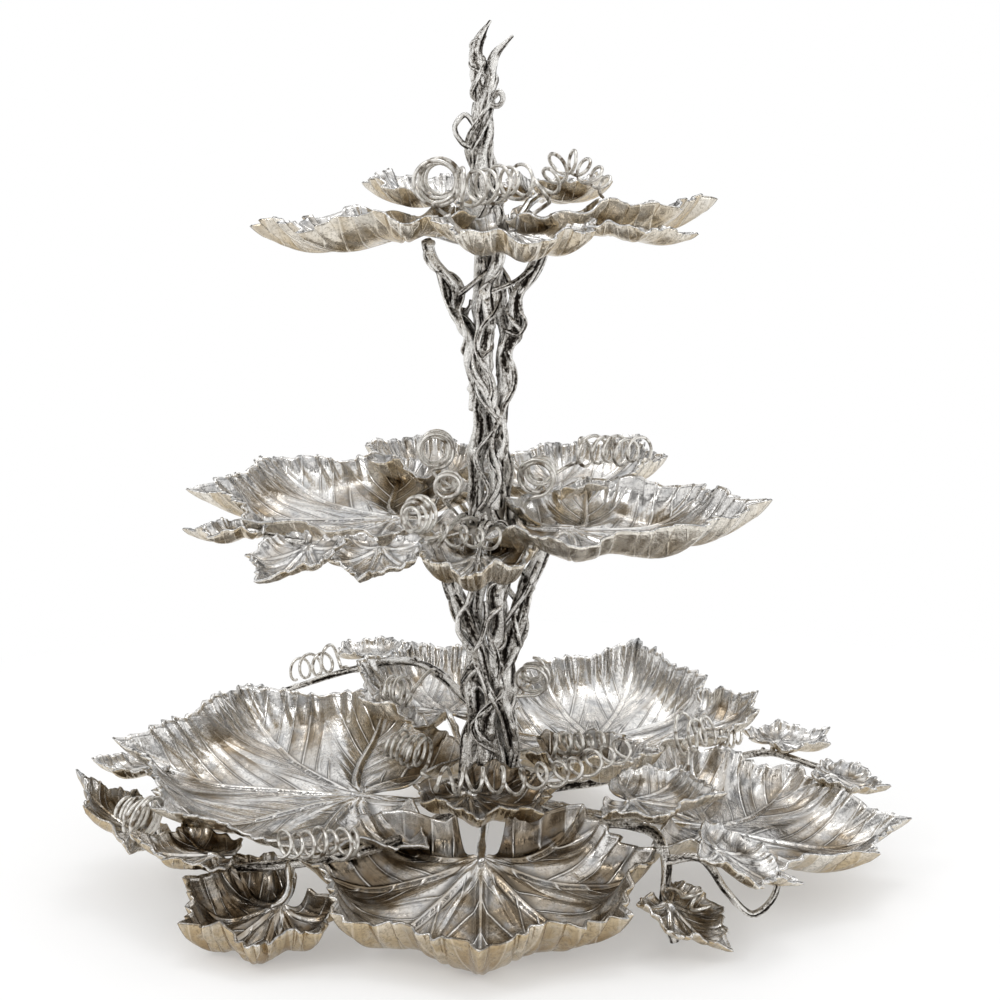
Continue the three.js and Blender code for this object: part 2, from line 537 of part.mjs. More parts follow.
const leaves = {
  base: {
    leaf_front: { ...deep, joint: vec(-5, -104, -9), heading: -90, pitch: -9, length: 101,
      spread: [1.2, 1.2], rise: { tip: 2, side: 8, stalk: 14 }, dip: 30, stands: true },
    leaf_back: { ...plain, joint: vec(10, 106, -9), heading: 96, pitch: -9, length: 98,
      spread: [1.05, 1.05], rise: { tip: 2, side: 6, stalk: 10 }, dip: 26, stands: true },
    leaf_left: { ...large, joint: vec(-79, -36, 8), heading: 170, pitch: 9, bank: -14, length: 150,
      spread: [0.7, 0.84], rise: { tip: 8, side: 12, stalk: 10 }, dip: 18 },
    leaf_right: { ...large, joint: vec(128, -68, -1), heading: 15, pitch: -5, bank: 11, length: 126,
      spread: [0.86, 0.56], rise: { tip: 4, side: 8, stalk: 12 }, dip: 17 },
    leaf_back_right: { ...large, joint: vec(66, 44, 18), heading: 70, pitch: 15, length: 112,
      spread: [0.84, 0.8], rise: { tip: 14, side: 16, stalk: 10 }, dip: 17 },
    leaf_back_left: { ...plain, joint: vec(-28, 54, 35), heading: 110, pitch: 10, length: 88,
      spread: [0.78, 0.8], rise: { tip: 14, side: 14, stalk: 6 }, dip: 14 },
    leaf_front_left: { ...medium, joint: vec(-118, -128, -12), heading: -146, pitch: -4, bank: -8, length: 58,
      spread: [1.1, 1], rise: { tip: 8, side: 10, stalk: 6 }, dip: 19, stands: true, twig: "front_left" },
    leaf_centre_right: { ...plain, joint: vec(47, -9, 22), heading: -13, pitch: 2, bank: 4, length: 56,
      spread: [0.5, 0.72], rise: { tip: 8, side: 12, stalk: 6 }, dip: 12 },
    leaf_front_centre: { ...plain, joint: vec(-14, -46, 13), heading: -42, pitch: -4, length: 50,
      spread: [0.85, 0.85], rise: { tip: 6, side: 8, stalk: 4 }, dip: 10 },
    leaf_far_right: { ...plain, joint: vec(128, 62, 18), heading: 24, pitch: 20, length: 58,
      spread: [0.9, 0.9], rise: { tip: 4, side: 8, stalk: 4 }, dip: 8, twig: "right" },
    small_far_left: { ...small, joint: vec(-214, -56, -10), heading: 158, pitch: 40, bank: 12, length: 50,
      twig: "front_left" },
    small_left_edge: { ...small, joint: vec(-210, -8, 18), heading: 176, pitch: 4, length: 38,
      twig: "front_left" },
    small_upper_left: { ...small, joint: vec(-158, 102, 32), heading: 205, pitch: -8, length: 38,
      twig: "back_left" },
    small_twig: { ...small, joint: vec(-86, 130, 56), heading: 70, pitch: 6, length: 38, twig: "back_left" },
    small_under_left: { ...small, joint: vec(-158, -110, -4), heading: 178, pitch: 12, length: 46,
      twig: "front_left" },
    small_right_front: { ...small, joint: vec(128, -134, 8), heading: -8, pitch: -20, length: 46,
      spread: [1, 1], twig: "right_front" },
    small_right_low: { ...small, joint: vec(100, -143, -20), heading: -34, pitch: -22, length: 40,
      twig: "right_front" },
    small_far_right: { ...small, joint: vec(218, 12, 6), heading: -24, pitch: -6, length: 35, twig: "right" },
    small_upper_right: { ...small, joint: vec(190, 58, 14), heading: 30, pitch: 4, length: 42,
      twig: "right" },
  },
  middle: {
    leaf_left: { ...upper, joint: vec(-54, -8, 3), heading: 178, pitch: 6, bank: -13, length: 124,
      spread: [0.58, 0.72], rise: { tip: 8, side: 12, stalk: 8 }, dip: 14 },
    leaf_front_right: { ...upper, joint: vec(44, -36, 1), heading: -9, pitch: 5, bank: 10, length: 115,
      spread: [0.58, 0.6], rise: { tip: 8, side: 12, stalk: 8 }, dip: 17 },
    leaf_back_right: { ...plain, joint: vec(40, 44, 12), heading: 48, pitch: 10, length: 86,
      spread: [0.8, 0.8], rise: { tip: 12, side: 12, stalk: 8 }, dip: 12 },
    leaf_back_left: { ...plain, joint: vec(-32, 56, 19), heading: 112, pitch: 6, length: 70,
      spread: [0.75, 0.75], rise: { tip: 12, side: 12, stalk: 6 }, dip: 10 },
    leaf_front: { ...plain, joint: vec(-6, -62, -11), heading: -95, pitch: -8, length: 52,
      spread: [0.8, 0.8], rise: { tip: 8, side: 8, stalk: 6 }, dip: 12 },
    small_front_left: { ...small, joint: vec(-62, -90, -1), heading: -104, pitch: -14, length: 40,
      twig: "middle" },
    small_left: { ...small, joint: vec(-104, -86, -1), heading: -126, pitch: -16, length: 42,
      twig: "middle" },
    small_far_left: { ...small, joint: vec(-140, -56, 3), heading: 174, pitch: 0, length: 38,
      twig: "middle" },
  },
  top: {
    leaf_left: { ...upper, joint: vec(-42, -6, 3), heading: 180, pitch: -2, bank: -3, length: 94,
      spread: [0.66, 0.66], rise: { tip: 6, side: 10, stalk: 6 }, dip: 13 },
    leaf_right: { ...upper, joint: vec(40, 8, 4), heading: 8, pitch: 6, length: 94,
      spread: [0.62, 0.62], rise: { tip: 6, side: 10, stalk: 6 }, dip: 12 },
    leaf_front: { ...upper, joint: vec(12, -42, 1), heading: -78, pitch: -6, length: 64,
      spread: [0.9, 0.9], rise: { tip: 4, side: 8, stalk: 5 }, dip: 12 },
    leaf_back_left: { ...plain, joint: vec(-26, 44, 19), heading: 122, pitch: 10, length: 70,
      spread: [0.75, 0.75], rise: { tip: 8, side: 10, stalk: 6 }, dip: 9 },
    leaf_back_right: { ...plain, joint: vec(30, 50, 24), heading: 56, pitch: 3, length: 58,
      spread: [0.75, 0.75], rise: { tip: 8, side: 10, stalk: 6 }, dip: 9 },
    small_right_front: { ...small, joint: vec(70, -46, 2), heading: -14, pitch: -2, length: 46 },
  },
};

function leafShape(leaf, matrix, root) {
  const joint = vec(0, 0, 0).applyMatrix4(matrix);
  const midrib = vec(1, 0, 0).transformDirection(matrix);
  const distance = joint.distanceTo(root);
  const stalk = new THREE.CubicBezierCurve3(
    joint.clone().addScaledVector(midrib, leaf.stalk * 1.5),
    joint.clone().addScaledVector(midrib, -distance * 0.35),
    root.clone().lerp(joint, 0.4).setZ(root.z + (joint.z - root.z) * 0.2),
    root,
  );
  const spans = Math.max(2, Math.round(distance / 25));
  return (grow) => {
    const whole = blade(leaf, grow).transform(matrix.elements)
      .add(sweep(stalk.getSpacedPoints(spans), () => leaf.stalk, leaf.stalkSides, grow));
    return leaf.stands ? whole.trimByPlane([0, 0, 1], grow ? -10 : 0) : whole;
  };
}

function addLeaf(name, drawn, tier) {
  const { section, height, scale } = tiers[tier];
  const leaf = scaled(drawn, scale);
  let matrix = leafMatrix(leaf, height);
  if (leaf.stands) {
    const lowest = blade(leaf, 0).transform(matrix.elements).boundingBox().min[2];
    matrix = leafMatrix(leaf, height - lowest - footFlat);
  }
  const joint = vec(0, 0, 0).applyMatrix4(matrix);
  const towards = Math.atan2(joint.y, joint.x) / degree;
  const root = leaf.twig ? nearest(twigs[leaf.twig], joint) : onRim(tier, towards);
  place(`${tier}_${name}`, section, silver, leafShape(leaf, matrix, root), matrix);
}

// Tendrils: wire led off from the plate's top at an angle from +X, from a twig or from the stem, then
// coiled round a straight or bowed line. Heights are measured from the tier's plate.
const tendrils = {
  base: {
    left: { twig: "front_left", coil: [vec(-200, -88, 10), vec(-218, -80, 16)], radius: [13, 6], turns: 3 },
    twig: { twig: "back_left", coil: [vec(-106, 104, 62), vec(-136, 102, 52)], radius: [8, 7], turns: 3 },
    back: { twig: "back_left", coil: [vec(-56, 36, 56), vec(-70, 44, 54)], radius: [10, 5], turns: 2.5 },
    centre: { angle: 215, coil: [vec(-40, -34, 34), vec(-62, -24, 38)], radius: [11, 8], turns: 3.5 },
    front_left: { twig: "front_left", coil: [vec(-74, -120, 8), vec(-118, -136, 12)], radius: [8, 6],
      turns: 4 },
    long: { angle: 240, coil: [vec(-32, -86, 38), vec(28, -92, 42), vec(84, -58, 50)], radius: [7, 6],
      turns: 6 },
    stem: { root: vec(6, 3, 54), coil: [vec(26, 8, 68), vec(28, 28, 74)], radius: [10, 6], turns: 2.5 },
    right: { root: vec(122, -34, 2), coil: [vec(120, -6, 38), vec(138, -14, 44)], radius: [12, 8],
      turns: 2.5 },
  },
  middle: {
    left: { angle: 108, coil: [vec(-34, 14, 42), vec(-36, 32, 42)], radius: [10, 9], turns: 2.5 },
    front: { angle: 227, coil: [vec(-38, -76, 16), vec(-46, -88, 16)], radius: [12, 7], turns: 2.5 },
    right: { angle: 8, coil: [vec(28, -14, 28), vec(32, 6, 32)], radius: [11, 8], turns: 2.5 },
    back: { angle: 30, coil: [vec(54, 32, 40), vec(98, 36, 40)], radius: [9, 8], turns: 3.5 },
  },
  top: {
    left: { angle: 158, coil: [vec(-32, -14, 31), vec(-30, 11, 34)], radius: [14, 11], turns: 3.5 },
    front: { angle: 262, coil: [vec(-18, -34, 27), vec(22, -34, 32)], radius: [11, 9], turns: 4 },
    fan: { angle: 30, coil: [vec(30, 6, 26), vec(48, 4, 44), vec(72, 2, 28)], radius: [7, 6], turns: 4 },
  },
};

function coilLine(tendril, tier) {
  const axis = curved(tendril.coil.map((point) => inTier(tier, point)));
  const count = Math.round(tendril.turns * coilSteps);
  const winding = [];
  for (let i = 0; i <= count; i++) {
    const s = i / count;
    const along = axis.getTangentAt(s);
    const across = along.clone().cross(vec(0, 0, 1)).normalize();
    const up = across.clone().cross(along);
    const turn = 2 * Math.PI * tendril.turns * s - Math.PI / 2;
    const radius = blend(tendril.radius, s) * (1 + 0.08 * Math.sin(5 * s)) * tiers[tier].scale;
    winding.push(axis.getPointAt(s).addScaledVector(across, radius * Math.cos(turn))
      .addScaledVector(up, radius * Math.sin(turn)));
  }
  const start = winding[0];
  const from = tendril.twig ? nearest(twigs[tendril.twig], start)
    : tendril.root ? inTier(tier, tendril.root) : onTop(tier, tendril.angle);
  const reach = from.distanceTo(start);
  const arriving = start.clone().sub(winding[1]).setLength(reach * 0.3).add(start);
  const leaving = from.clone().lerp(start, 0.15).setZ(from.z + reach * 0.35);
  const lead = new THREE.CubicBezierCurve3(from, leaving, arriving, start);
  return [...lead.getSpacedPoints(Math.max(3, Math.round(reach / 14))).slice(0, -1), ...winding];
}

// Smallest air gap between one turn of a wire and the next
function leastGap(line, radiusAt) {
  let least = Infinity;
  for (let i = 0; i < line.length; i++)
    for (let k = i + 4; k < line.length - 1; k++) {
      const span = new THREE.Line3(line[k], line[k + 1]);
      const near = span.closestPointToPoint(line[i], true, vec(0, 0, 0));
      const wires = radiusAt(i / line.length) + radiusAt(k / line.length);
      least = Math.min(least, near.distanceTo(line[i]) - wires);
    }
  return least;
}

// Build order: plates and stems first, then the twigs, leaves and tendrils, each filed back to fit
const basePlateFoot = baseHeight - plateThickness;
place("base_plate", "base", oxidised, plate(basePlateRadius, baseHeight, lowerStudRadius + studClearance));
place("base_nut", "base", oxidised, nut(basePlateFoot - seatGap));
place("lower_stem", "base", oxidised, stemOf(lowerSection, lowerStalks,
  footing(lowerFootRadius, lowerFoot, lowerStudRadius, basePlateFoot - nutHeight - studBelowNut),
  cap(lowerCapRadius, lowerShoulder, lowerStudRadius, middleHeight + studEngagement)));
place("middle_plate", "middle_tier", oxidised,
  plate(middlePlateRadius, middleHeight, lowerStudRadius + studClearance));
place("upper_stem", "upper_stem", oxidised, stemOf(upperSection, upperStalks,
  boss(upperFootRadius, upperFoot, lowerStudRadius + studClearance),
  cap(upperCapRadius, upperShoulder, upperStudRadius, topHeight + studEngagement)));
place("top_plate", "top_tier", oxidised, plate(topPlateRadius, topHeight, upperStudRadius + studClearance));
place("finial", "finial", oxidised, stemOf(finialSection, finialStalks,
  boss(finialFootRadius, finialFoot, upperStudRadius + studClearance), tipHook, tipFork, sideLoop));

keepPathClear(upperSection);
keepPathClear(finialSection);
for (const [name, twig] of Object.entries(twigs))
  place(`twig_${name}`, tiers[twig.tier].section, oxidised, twigShape(twig));

for (const tier of Object.keys(tiers))
  for (const [name, leaf] of Object.entries(leaves[tier])) addLeaf(name, leaf, tier);

for (const tier of Object.keys(tiers))
  for (const [name, tendril] of Object.entries(tendrils[tier])) {
    const line = coilLine(tendril, tier);
    const thick = (s) => tendrilRadius + (tendrilTipRadius - tendrilRadius) * s;
    console.log(`${tier}_tendril_${name}: least gap to itself ${leastGap(line, thick).toFixed(2)} mm`);
    place(`${tier}_tendril_${name}`, tiers[tier].section, silver, (grow) => sweep(line, thick, 5, grow));
  }

export default centrepiece;
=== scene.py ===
# Three-tier silver centrepiece: dished vine leaves, coiled tendrils and a stem of twisted vine stalks
# The tables are in millimetres, as a silversmith would measure them, and the meshes are in metres
import bpy
import bmesh
import math
import numpy as np
from mathutils import Euler, Matrix, Vector


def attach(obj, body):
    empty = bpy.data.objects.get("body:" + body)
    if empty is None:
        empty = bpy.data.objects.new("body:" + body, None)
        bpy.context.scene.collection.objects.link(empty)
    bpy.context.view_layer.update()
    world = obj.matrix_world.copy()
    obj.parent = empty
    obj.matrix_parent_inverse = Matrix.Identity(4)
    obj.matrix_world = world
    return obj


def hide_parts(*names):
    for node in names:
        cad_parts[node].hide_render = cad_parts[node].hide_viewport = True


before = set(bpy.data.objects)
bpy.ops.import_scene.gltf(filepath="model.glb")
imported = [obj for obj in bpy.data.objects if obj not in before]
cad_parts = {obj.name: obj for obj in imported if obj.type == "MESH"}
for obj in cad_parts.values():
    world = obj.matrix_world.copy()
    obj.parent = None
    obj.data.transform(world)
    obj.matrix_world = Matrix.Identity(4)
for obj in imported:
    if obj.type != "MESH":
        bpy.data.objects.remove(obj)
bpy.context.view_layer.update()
mm = 0.001
degree = math.pi / 180
print("frame loaded:", len(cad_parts), "nodes")


def colour(hexText):
    parts = [int(hexText[i:i + 2], 16) / 255 for i in (1, 3, 5)]
    linear = [c / 12.92 if c <= 0.04045 else ((c + 0.055) / 1.055) ** 2.4 for c in parts]
    return (*linear, 1)


def addNode(tree, kind, inputs=(), stops=(), **settings):
    # An input takes a value, or the node or output that feeds it. Stops are a colour ramp's places and tones
    node = tree.nodes.new("ShaderNode" + kind)
    for key, value in settings.items():
        setattr(node, key, value)
    for key, value in inputs.items() if isinstance(inputs, dict) else enumerate(inputs):
        if isinstance(value, bpy.types.Node):
            value = next(output for output in value.outputs if output.enabled)
        if isinstance(value, bpy.types.NodeSocket):
            tree.links.new(value, node.inputs[key])
        else:
            node.inputs[key].default_value = value
    if stops:
        ramp = node.color_ramp.elements
        ramp[0].position, ramp[1].position = stops[0][0], stops[-1][0]
        for at, _ in stops[1:-1]:
            ramp.new(at)
        for element, (_, tone) in zip(ramp, stops):
            element.color = colour(tone)
    return node


def newMaterial(name):
    material = bpy.data.materials.new(name)
    material.use_nodes = True
    material.node_tree.nodes.clear()
    return material, material.node_tree


def repeats(size):
    # How often a pattern of this size in mm repeats in a metre
    return 1 / (size * mm)


def finishMetal(tree, base, roughness, relief):
    # Relief is rows of height, strength and depth in mm, from the coarsest to the finest
    normal = {}
    for height, strength, depth in relief:
        bump = {"Height": height, "Strength": strength, "Distance": depth * mm, **normal}
        normal = {"Normal": addNode(tree, "Bump", bump)}
    shader = addNode(tree, "BsdfPrincipled", {
        "Metallic": 1.0, "Base Color": base, "Roughness": roughness, **normal})
    addNode(tree, "OutputMaterial", {"Surface": shader})


leafSilver = {
    "name": "chased_sterling_silver",
    "bright": "#EFEDEA",    # polished high ground, almost white, also painted on the side veins' ridges as a highlight
    "warm": "#978871",      # thin sulphide tarnish, straw to brown, panel by panel, also laid on as painted shade close to the stem
    "deep": "#5E4D38",      # heavier tarnish low in the front leaves, and the deepest painted shade close to the stem
    "cool": "#A7AAAE",      # steel-grey bloom
    "dark": "#312D29",      # black left in the gutters by the main veins where the polishing mop can't reach, and painted shadow beside the side veins
    "tarnished": (0.95, 1.46),      # sums of blotch and hollow between which bright goes to warm
    "chased": 0.52,         # how dark the chased lines are
    "mottled": 0.30,        # how dark and how deep the mottling is
}
leafUnderside = {
    "name": "silver_underside_tarnish_and_painted_light",
    "bright": "#EFEAE0",    # unpolished underside, gone a little yellow, with all its tones painted lighter than the top's, painted light against the shade it lies in
    "warm": "#BFAB88",
    "deep": "#94784F",
    "cool": "#CFCAC0",
    "dark": "#655A4A",
    "tarnished": (0.66, 1.20),
    "chased": 0.42,
    "mottled": 0.42,
}
leafPattern = {
    "chaseLine": 1.5,       # mm between chased lines
    "chaseLength": 26,      # mm that one line runs
    "hammer": 11,           # mm across a planishing mark
    "blotch": 30,           # mm across a patch of tarnish
    "pit": 1.7,             # mm across the mottling that catches small lights
    "veinRidge": (0.075, 0.015),    # foot and top of a side vein's ridge, in shares of the veins' spacing
    "veinFlank": (0.21, 0.06),      # the painted shadow line beside it, in the same shares
    "heavyTarnish": (1.30, 1.75),   # sums of blotch and hollow between which warm goes to deep
    "polish": (0.09, 0.24),         # roughness from the low to the high of the planishing marks
}


def makeLeafSilver(s):
    # Sterling sheet, raised and chased, then polished: bright ridges, fine tool lines and brown hollows, with
    # a painted highlight on each side vein, a painted shadow beside it and painted shade by the stem
    material, tree = newMaterial(s["name"])
    p = leafPattern
    place = addNode(tree, "TexCoord").outputs["Object"]
    along = addNode(tree, "UVMap", uv_map="chase")
    veins = addNode(tree, "UVMap", uv_map="veins")
    gutter, hollow, rib, crest, rim = (addNode(tree, "Attribute", attribute_name=name).outputs["Fac"]
                                       for name in ("gutter", "hollow", "rib", "crest", "rim"))
    toolLines = addNode(tree, "Mapping", {
        "Vector": along, "Scale": (repeats(p["chaseLine"]), repeats(p["chaseLength"]), 1)})
    chased = addNode(tree, "TexNoise", {
        "Vector": toolLines, "Scale": 1.0, "Detail": 3.0, "Roughness": 0.62, "Distortion": 0.5})
    marks, blotches, pits = (
        addNode(tree, "TexNoise", {
            "Vector": place, "Scale": repeats(p[name]), "Detail": detail, "Roughness": roughness})
        for name, detail, roughness in (("hammer", 2.0, 0.55), ("blotch", 3.0, 0.6), ("pit", 2.0, 0.7)))

    # Side veins: raised where the vein count is whole, with a dark line along one flank that is a painted
    # shadow
    count = addNode(tree, "SeparateXYZ", [veins]).outputs["X"]
    fromVein = addNode(tree, "Math", [count, 0.5], operation="PINGPONG")
    ridge, flank = (
        addNode(tree, "Math", [addNode(tree, "MapRange", [fromVein, *p[name]]), rib], operation="MULTIPLY")
        for name in ("veinRidge", "veinFlank"))
    shade = addNode(tree, "Math", [ridge, -1.4, flank], operation="MULTIPLY_ADD", use_clamp=True)
    panel = addNode(tree, "TexWhiteNoise", noise_dimensions="1D", inputs={
        "W": addNode(tree, "Math", [count], operation="FLOOR")})

    # Tarnish gathers in the hollows, by patches and by panels, together with the painted shade by the stem
    # that comes in through the hollow mark; a grey bloom lies on the planishing marks, and the side veins'
    # ridges are painted bright as a highlight
    tarnishAndShade = addNode(tree, "Math", [blotches, 1.15, hollow], operation="MULTIPLY_ADD")
    tarnishAndShade = addNode(tree, "Math", [panel, 0.45, tarnishAndShade], operation="MULTIPLY_ADD")
    ground = colour(s["bright"])
    for tone, share in (
            ("warm", addNode(tree, "MapRange", [tarnishAndShade, *s["tarnished"], 0.0, 0.9])),
            ("deep", addNode(tree, "MapRange", [tarnishAndShade, *p["heavyTarnish"], 0.0, 0.85])),
            ("cool", addNode(tree, "MapRange", [marks, 0.50, 0.72, 0.0, 0.6])),
            ("bright", addNode(tree, "Math", [ridge, 0.8], operation="MULTIPLY"))):
        ground = addNode(tree, "Mix", {"Factor": share, "A": ground, "B": colour(s[tone])}, data_type="RGBA")

    # Black stays in gutters, tool lines and pits, lies beside the side veins as a painted shadow, and is
    # rubbed off all that stands up, most of all off the side veins' ridges, which makes a painted highlight
    black = gutter
    for operation, share in (
            ("MAXIMUM", addNode(tree, "MapRange", [chased, 0.44, 0.28, 0.0, s["chased"]])),
            ("MAXIMUM", addNode(tree, "MapRange", [pits, 0.52, 0.36, 0.0, s["mottled"]])),
            ("MAXIMUM", addNode(tree, "Math", [shade, 0.75], operation="MULTIPLY")),
            ("SUBTRACT", addNode(tree, "Math", [ridge, 0.6], operation="MULTIPLY")),
            ("SUBTRACT", crest)):
        black = addNode(tree, "Math", [black, share], operation=operation, use_clamp=True)
    base = addNode(tree, "Mix", {"Factor": black, "A": ground, "B": colour(s["dark"])}, data_type="RGBA")

    satin = addNode(tree, "MapRange", [marks, 0.3, 0.7, *p["polish"]])
    roughness = addNode(tree, "Math", [rim, 0.08, satin], operation="MULTIPLY_ADD")
    onRib = addNode(tree, "Math", [rib, 0.7, 0.3], operation="MULTIPLY_ADD")
    cuts = addNode(tree, "Math", [chased, onRib], operation="MULTIPLY")
    finishMetal(tree, base, roughness, [
        (marks, 0.7, 1.0), (ridge, 1.0, 0.6), (cuts, 0.8, 0.38), (pits, s["mottled"], 0.4)])
    return material


barkSilver = {
    "ridge": "#F3F1ED",     # rubbed bright
    "flank": "#A19B93",     # grey satin
    "recess": "#26211D",    # oxidised nearly black in the furrows
    "streak": 1.2,          # mm across one bark furrow
    "streakLength": 6,      # mm that it runs
    "fleck": 1.6,           # mm across a rubbed fleck
    "rubbed": (0.82, 1.36),         # heights between which the black has been rubbed away
    "polish": (0.48, 0.15),         # roughness in the furrows and on the ridges
}


def makeBarkSilver(s):
    # Cast sterling with a bark grain, blackened and rubbed back so only the ridges and flecks shine
    material, tree = newMaterial("oxidised_cast_silver")
    place = addNode(tree, "TexCoord").outputs["Object"]
    along = addNode(tree, "UVMap", uv_map="chase")
    ridge = addNode(tree, "Attribute", attribute_name="ridge").outputs["Fac"]
    furrows = addNode(tree, "Mapping", {
        "Vector": along, "Scale": (repeats(s["streak"]), repeats(s["streakLength"]), 1)})
    grain = addNode(tree, "TexNoise", {
        "Vector": furrows, "Scale": 1.0, "Detail": 4.0, "Roughness": 0.7, "Distortion": 1.2})
    flecks = addNode(tree, "TexNoise", {
        "Vector": place, "Scale": repeats(s["fleck"]), "Detail": 3.0, "Roughness": 0.6})
    height = 0.0
    for part, weight in ((grain, 0.8), (ridge, 0.55), (flecks, 0.8)):
        height = addNode(tree, "Math", [part, weight, height], operation="MULTIPLY_ADD")
    rubbed = addNode(tree, "MapRange", [height, *s["rubbed"]])
    base = addNode(tree, "ValToRGB", [rubbed], stops=(
        (0.15, s["recess"]), (0.38, s["flank"]), (0.64, s["ridge"])))
    roughness = addNode(tree, "MapRange", [height, 0.8, 1.3, *s["polish"]])
    finishMetal(tree, base, roughness, [(grain, 1.0, 0.8), (flecks, 1.0, 0.5)])
    return material


wireSilver = {
    "bright": "#EDEAE4",
    "dull": "#75695A",      # brown tarnish in patches
    "patch": 6,             # mm across a tarnished stretch
    "draw": 0.5,            # mm between drawplate lines
    "polish": (0.22, 0.42),         # roughness where the mop reached and where it missed
}


def makeWireSilver(s):
    # Drawn sterling wire, polished after winding: bright, with patches the mop missed
    material, tree = newMaterial("drawn_silver_wire")
    place = addNode(tree, "TexCoord").outputs["Object"]
    patches = addNode(tree, "TexNoise", {
        "Vector": place, "Scale": repeats(s["patch"]), "Detail": 2.0, "Roughness": 0.6})
    dulled = addNode(tree, "MapRange", [patches, 0.50, 0.68])
    tint = addNode(tree, "Mix", data_type="RGBA", inputs={
        "Factor": dulled, "A": colour(s["bright"]), "B": colour(s["dull"])})
    drawn = addNode(tree, "TexNoise", {"Vector": place, "Scale": repeats(s["draw"]), "Detail": 1.0})
    roughness = addNode(tree, "MapRange", [patches, 0.3, 0.7, *s["polish"]])
    finishMetal(tree, tint, roughness, [(drawn, 0.3, 0.08)])
    return material


turnedSilver = {
    "face": "#B9B4AC",
    "worn": "#5F5A53",
    "patch": 11,            # mm across a worn patch
    "toolLine": 0.7,        # mm between turning lines
    "ringWave": 0.314,      # m between the wave texture's rings at a scale of 1
    "polish": (0.25, 0.42),         # roughness of the face and where it is worn
}


def makeTurnedSilver(s):
    # Lathe-turned sterling, left with its fine rings, grey all over with darker patches
    material, tree = newMaterial("turned_silver")
    place = addNode(tree, "TexCoord").outputs["Object"]
    rings = addNode(tree, "TexWave", wave_type="RINGS", rings_direction="Z", inputs={
        "Vector": place, "Scale": s["ringWave"] * repeats(s["toolLine"]), "Distortion": 0.6, "Detail": 1.0})
    patches = addNode(tree, "TexNoise", {"Vector": place, "Scale": repeats(s["patch"]), "Detail": 3.0})
    base = addNode(tree, "Mix", data_type="RGBA", inputs={
        "Factor": patches, "A": colour(s["face"]), "B": colour(s["worn"])})
    roughness = addNode(tree, "MapRange", [patches, 0.3, 0.7, *s["polish"]])
    finishMetal(tree, base, roughness, [(rings.outputs["Fac"], 0.3, 0.05)])
    return material


materials = {
    "leaf": makeLeafSilver(leafSilver),
    "underside": makeLeafSilver(leafUnderside),
    "bark": makeBarkSilver(barkSilver),
    "wire": makeWireSilver(wireSilver),
    "turned": makeTurnedSilver(turnedSilver),
}
print("materials made")


def smoothStep(x, low, high):
    t = np.clip((x - low) / (high - low), 0, 1)
    return t * t * (3 - 2 * t)


def easedThrough(values, share):
    # Values at even steps, eased from each to the next
    at = np.minimum(len(values) - 1.000001, np.asarray(share) * (len(values) - 1))
    i = np.floor(at).astype(int)
    f = at - i
    values = np.asarray(values, float)
    return values[i] + (values[i + 1] - values[i]) * f * f * (3 - 2 * f)


def splineThrough(points, shares):
    # Centripetal spline, at shares of its parameter
    p = np.asarray(points, float)
    out = []
    for share in shares:
        at = (len(p) - 1) * share
        i = min(int(at), len(p) - 2)
        w = at - i
        before = p[i - 1] if i > 0 else 2 * p[0] - p[1]
        after = p[i + 2] if i + 2 < len(p) else 2 * p[-1] - p[-2]
        a, b, c, d = before, p[i], p[i + 1], after
        ab, bc, cd = (max(1e-4, math.sqrt(np.linalg.norm(v))) for v in (b - a, c - b, d - c))
        t1 = ((b - a) / ab - (c - a) / (ab + bc) + (c - b) / bc) * bc
        t2 = ((c - b) / bc - (d - b) / (bc + cd) + (d - c) / cd) * bc
        out.append(b + t1 * w + (-3 * b + 3 * c - 2 * t1 - t2) * w ** 2 + (2 * b - 2 * c + t1 + t2) * w ** 3)
    return np.array(out)


def evenly(line, count):
    # The same line with its points at even distances
    steps = np.linalg.norm(np.diff(line, axis=0), axis=1)
    run = np.concatenate([[0], np.cumsum(steps)])
    at = np.linspace(0, run[-1], count + 1)
    return np.stack([np.interp(at, run, line[:, k]) for k in range(3)], axis=1)


def lengthOf(line):
    return float(np.linalg.norm(np.diff(line, axis=0), axis=1).sum())


def curveThrough(points, step):
    line = splineThrough(points, np.linspace(0, 1, 60 * (len(points) - 1) + 1))
    return evenly(line, max(4, round(lengthOf(line) / step)))


def bezier(a, b, c, d, step):
    t = np.linspace(0, 1, 60)[:, None]
    a, b, c, d = (np.asarray(p, float) for p in (a, b, c, d))
    line = (1 - t) ** 3 * a + 3 * (1 - t) ** 2 * t * b + 3 * (1 - t) * t ** 2 * c + t ** 3 * d
    return evenly(line, max(4, round(lengthOf(line) / step)))


def meshOf(bm, name="part"):
    mesh = bpy.data.meshes.new(name)
    bm.to_mesh(mesh)
    bm.free()
    return mesh


def moveInto(bm, mesh):
    bm.from_mesh(mesh)
    bpy.data.meshes.remove(mesh)


def placeObject(name, data):
    thing = bpy.data.objects.new(name, data)
    bpy.context.scene.collection.objects.link(thing)
    return thing


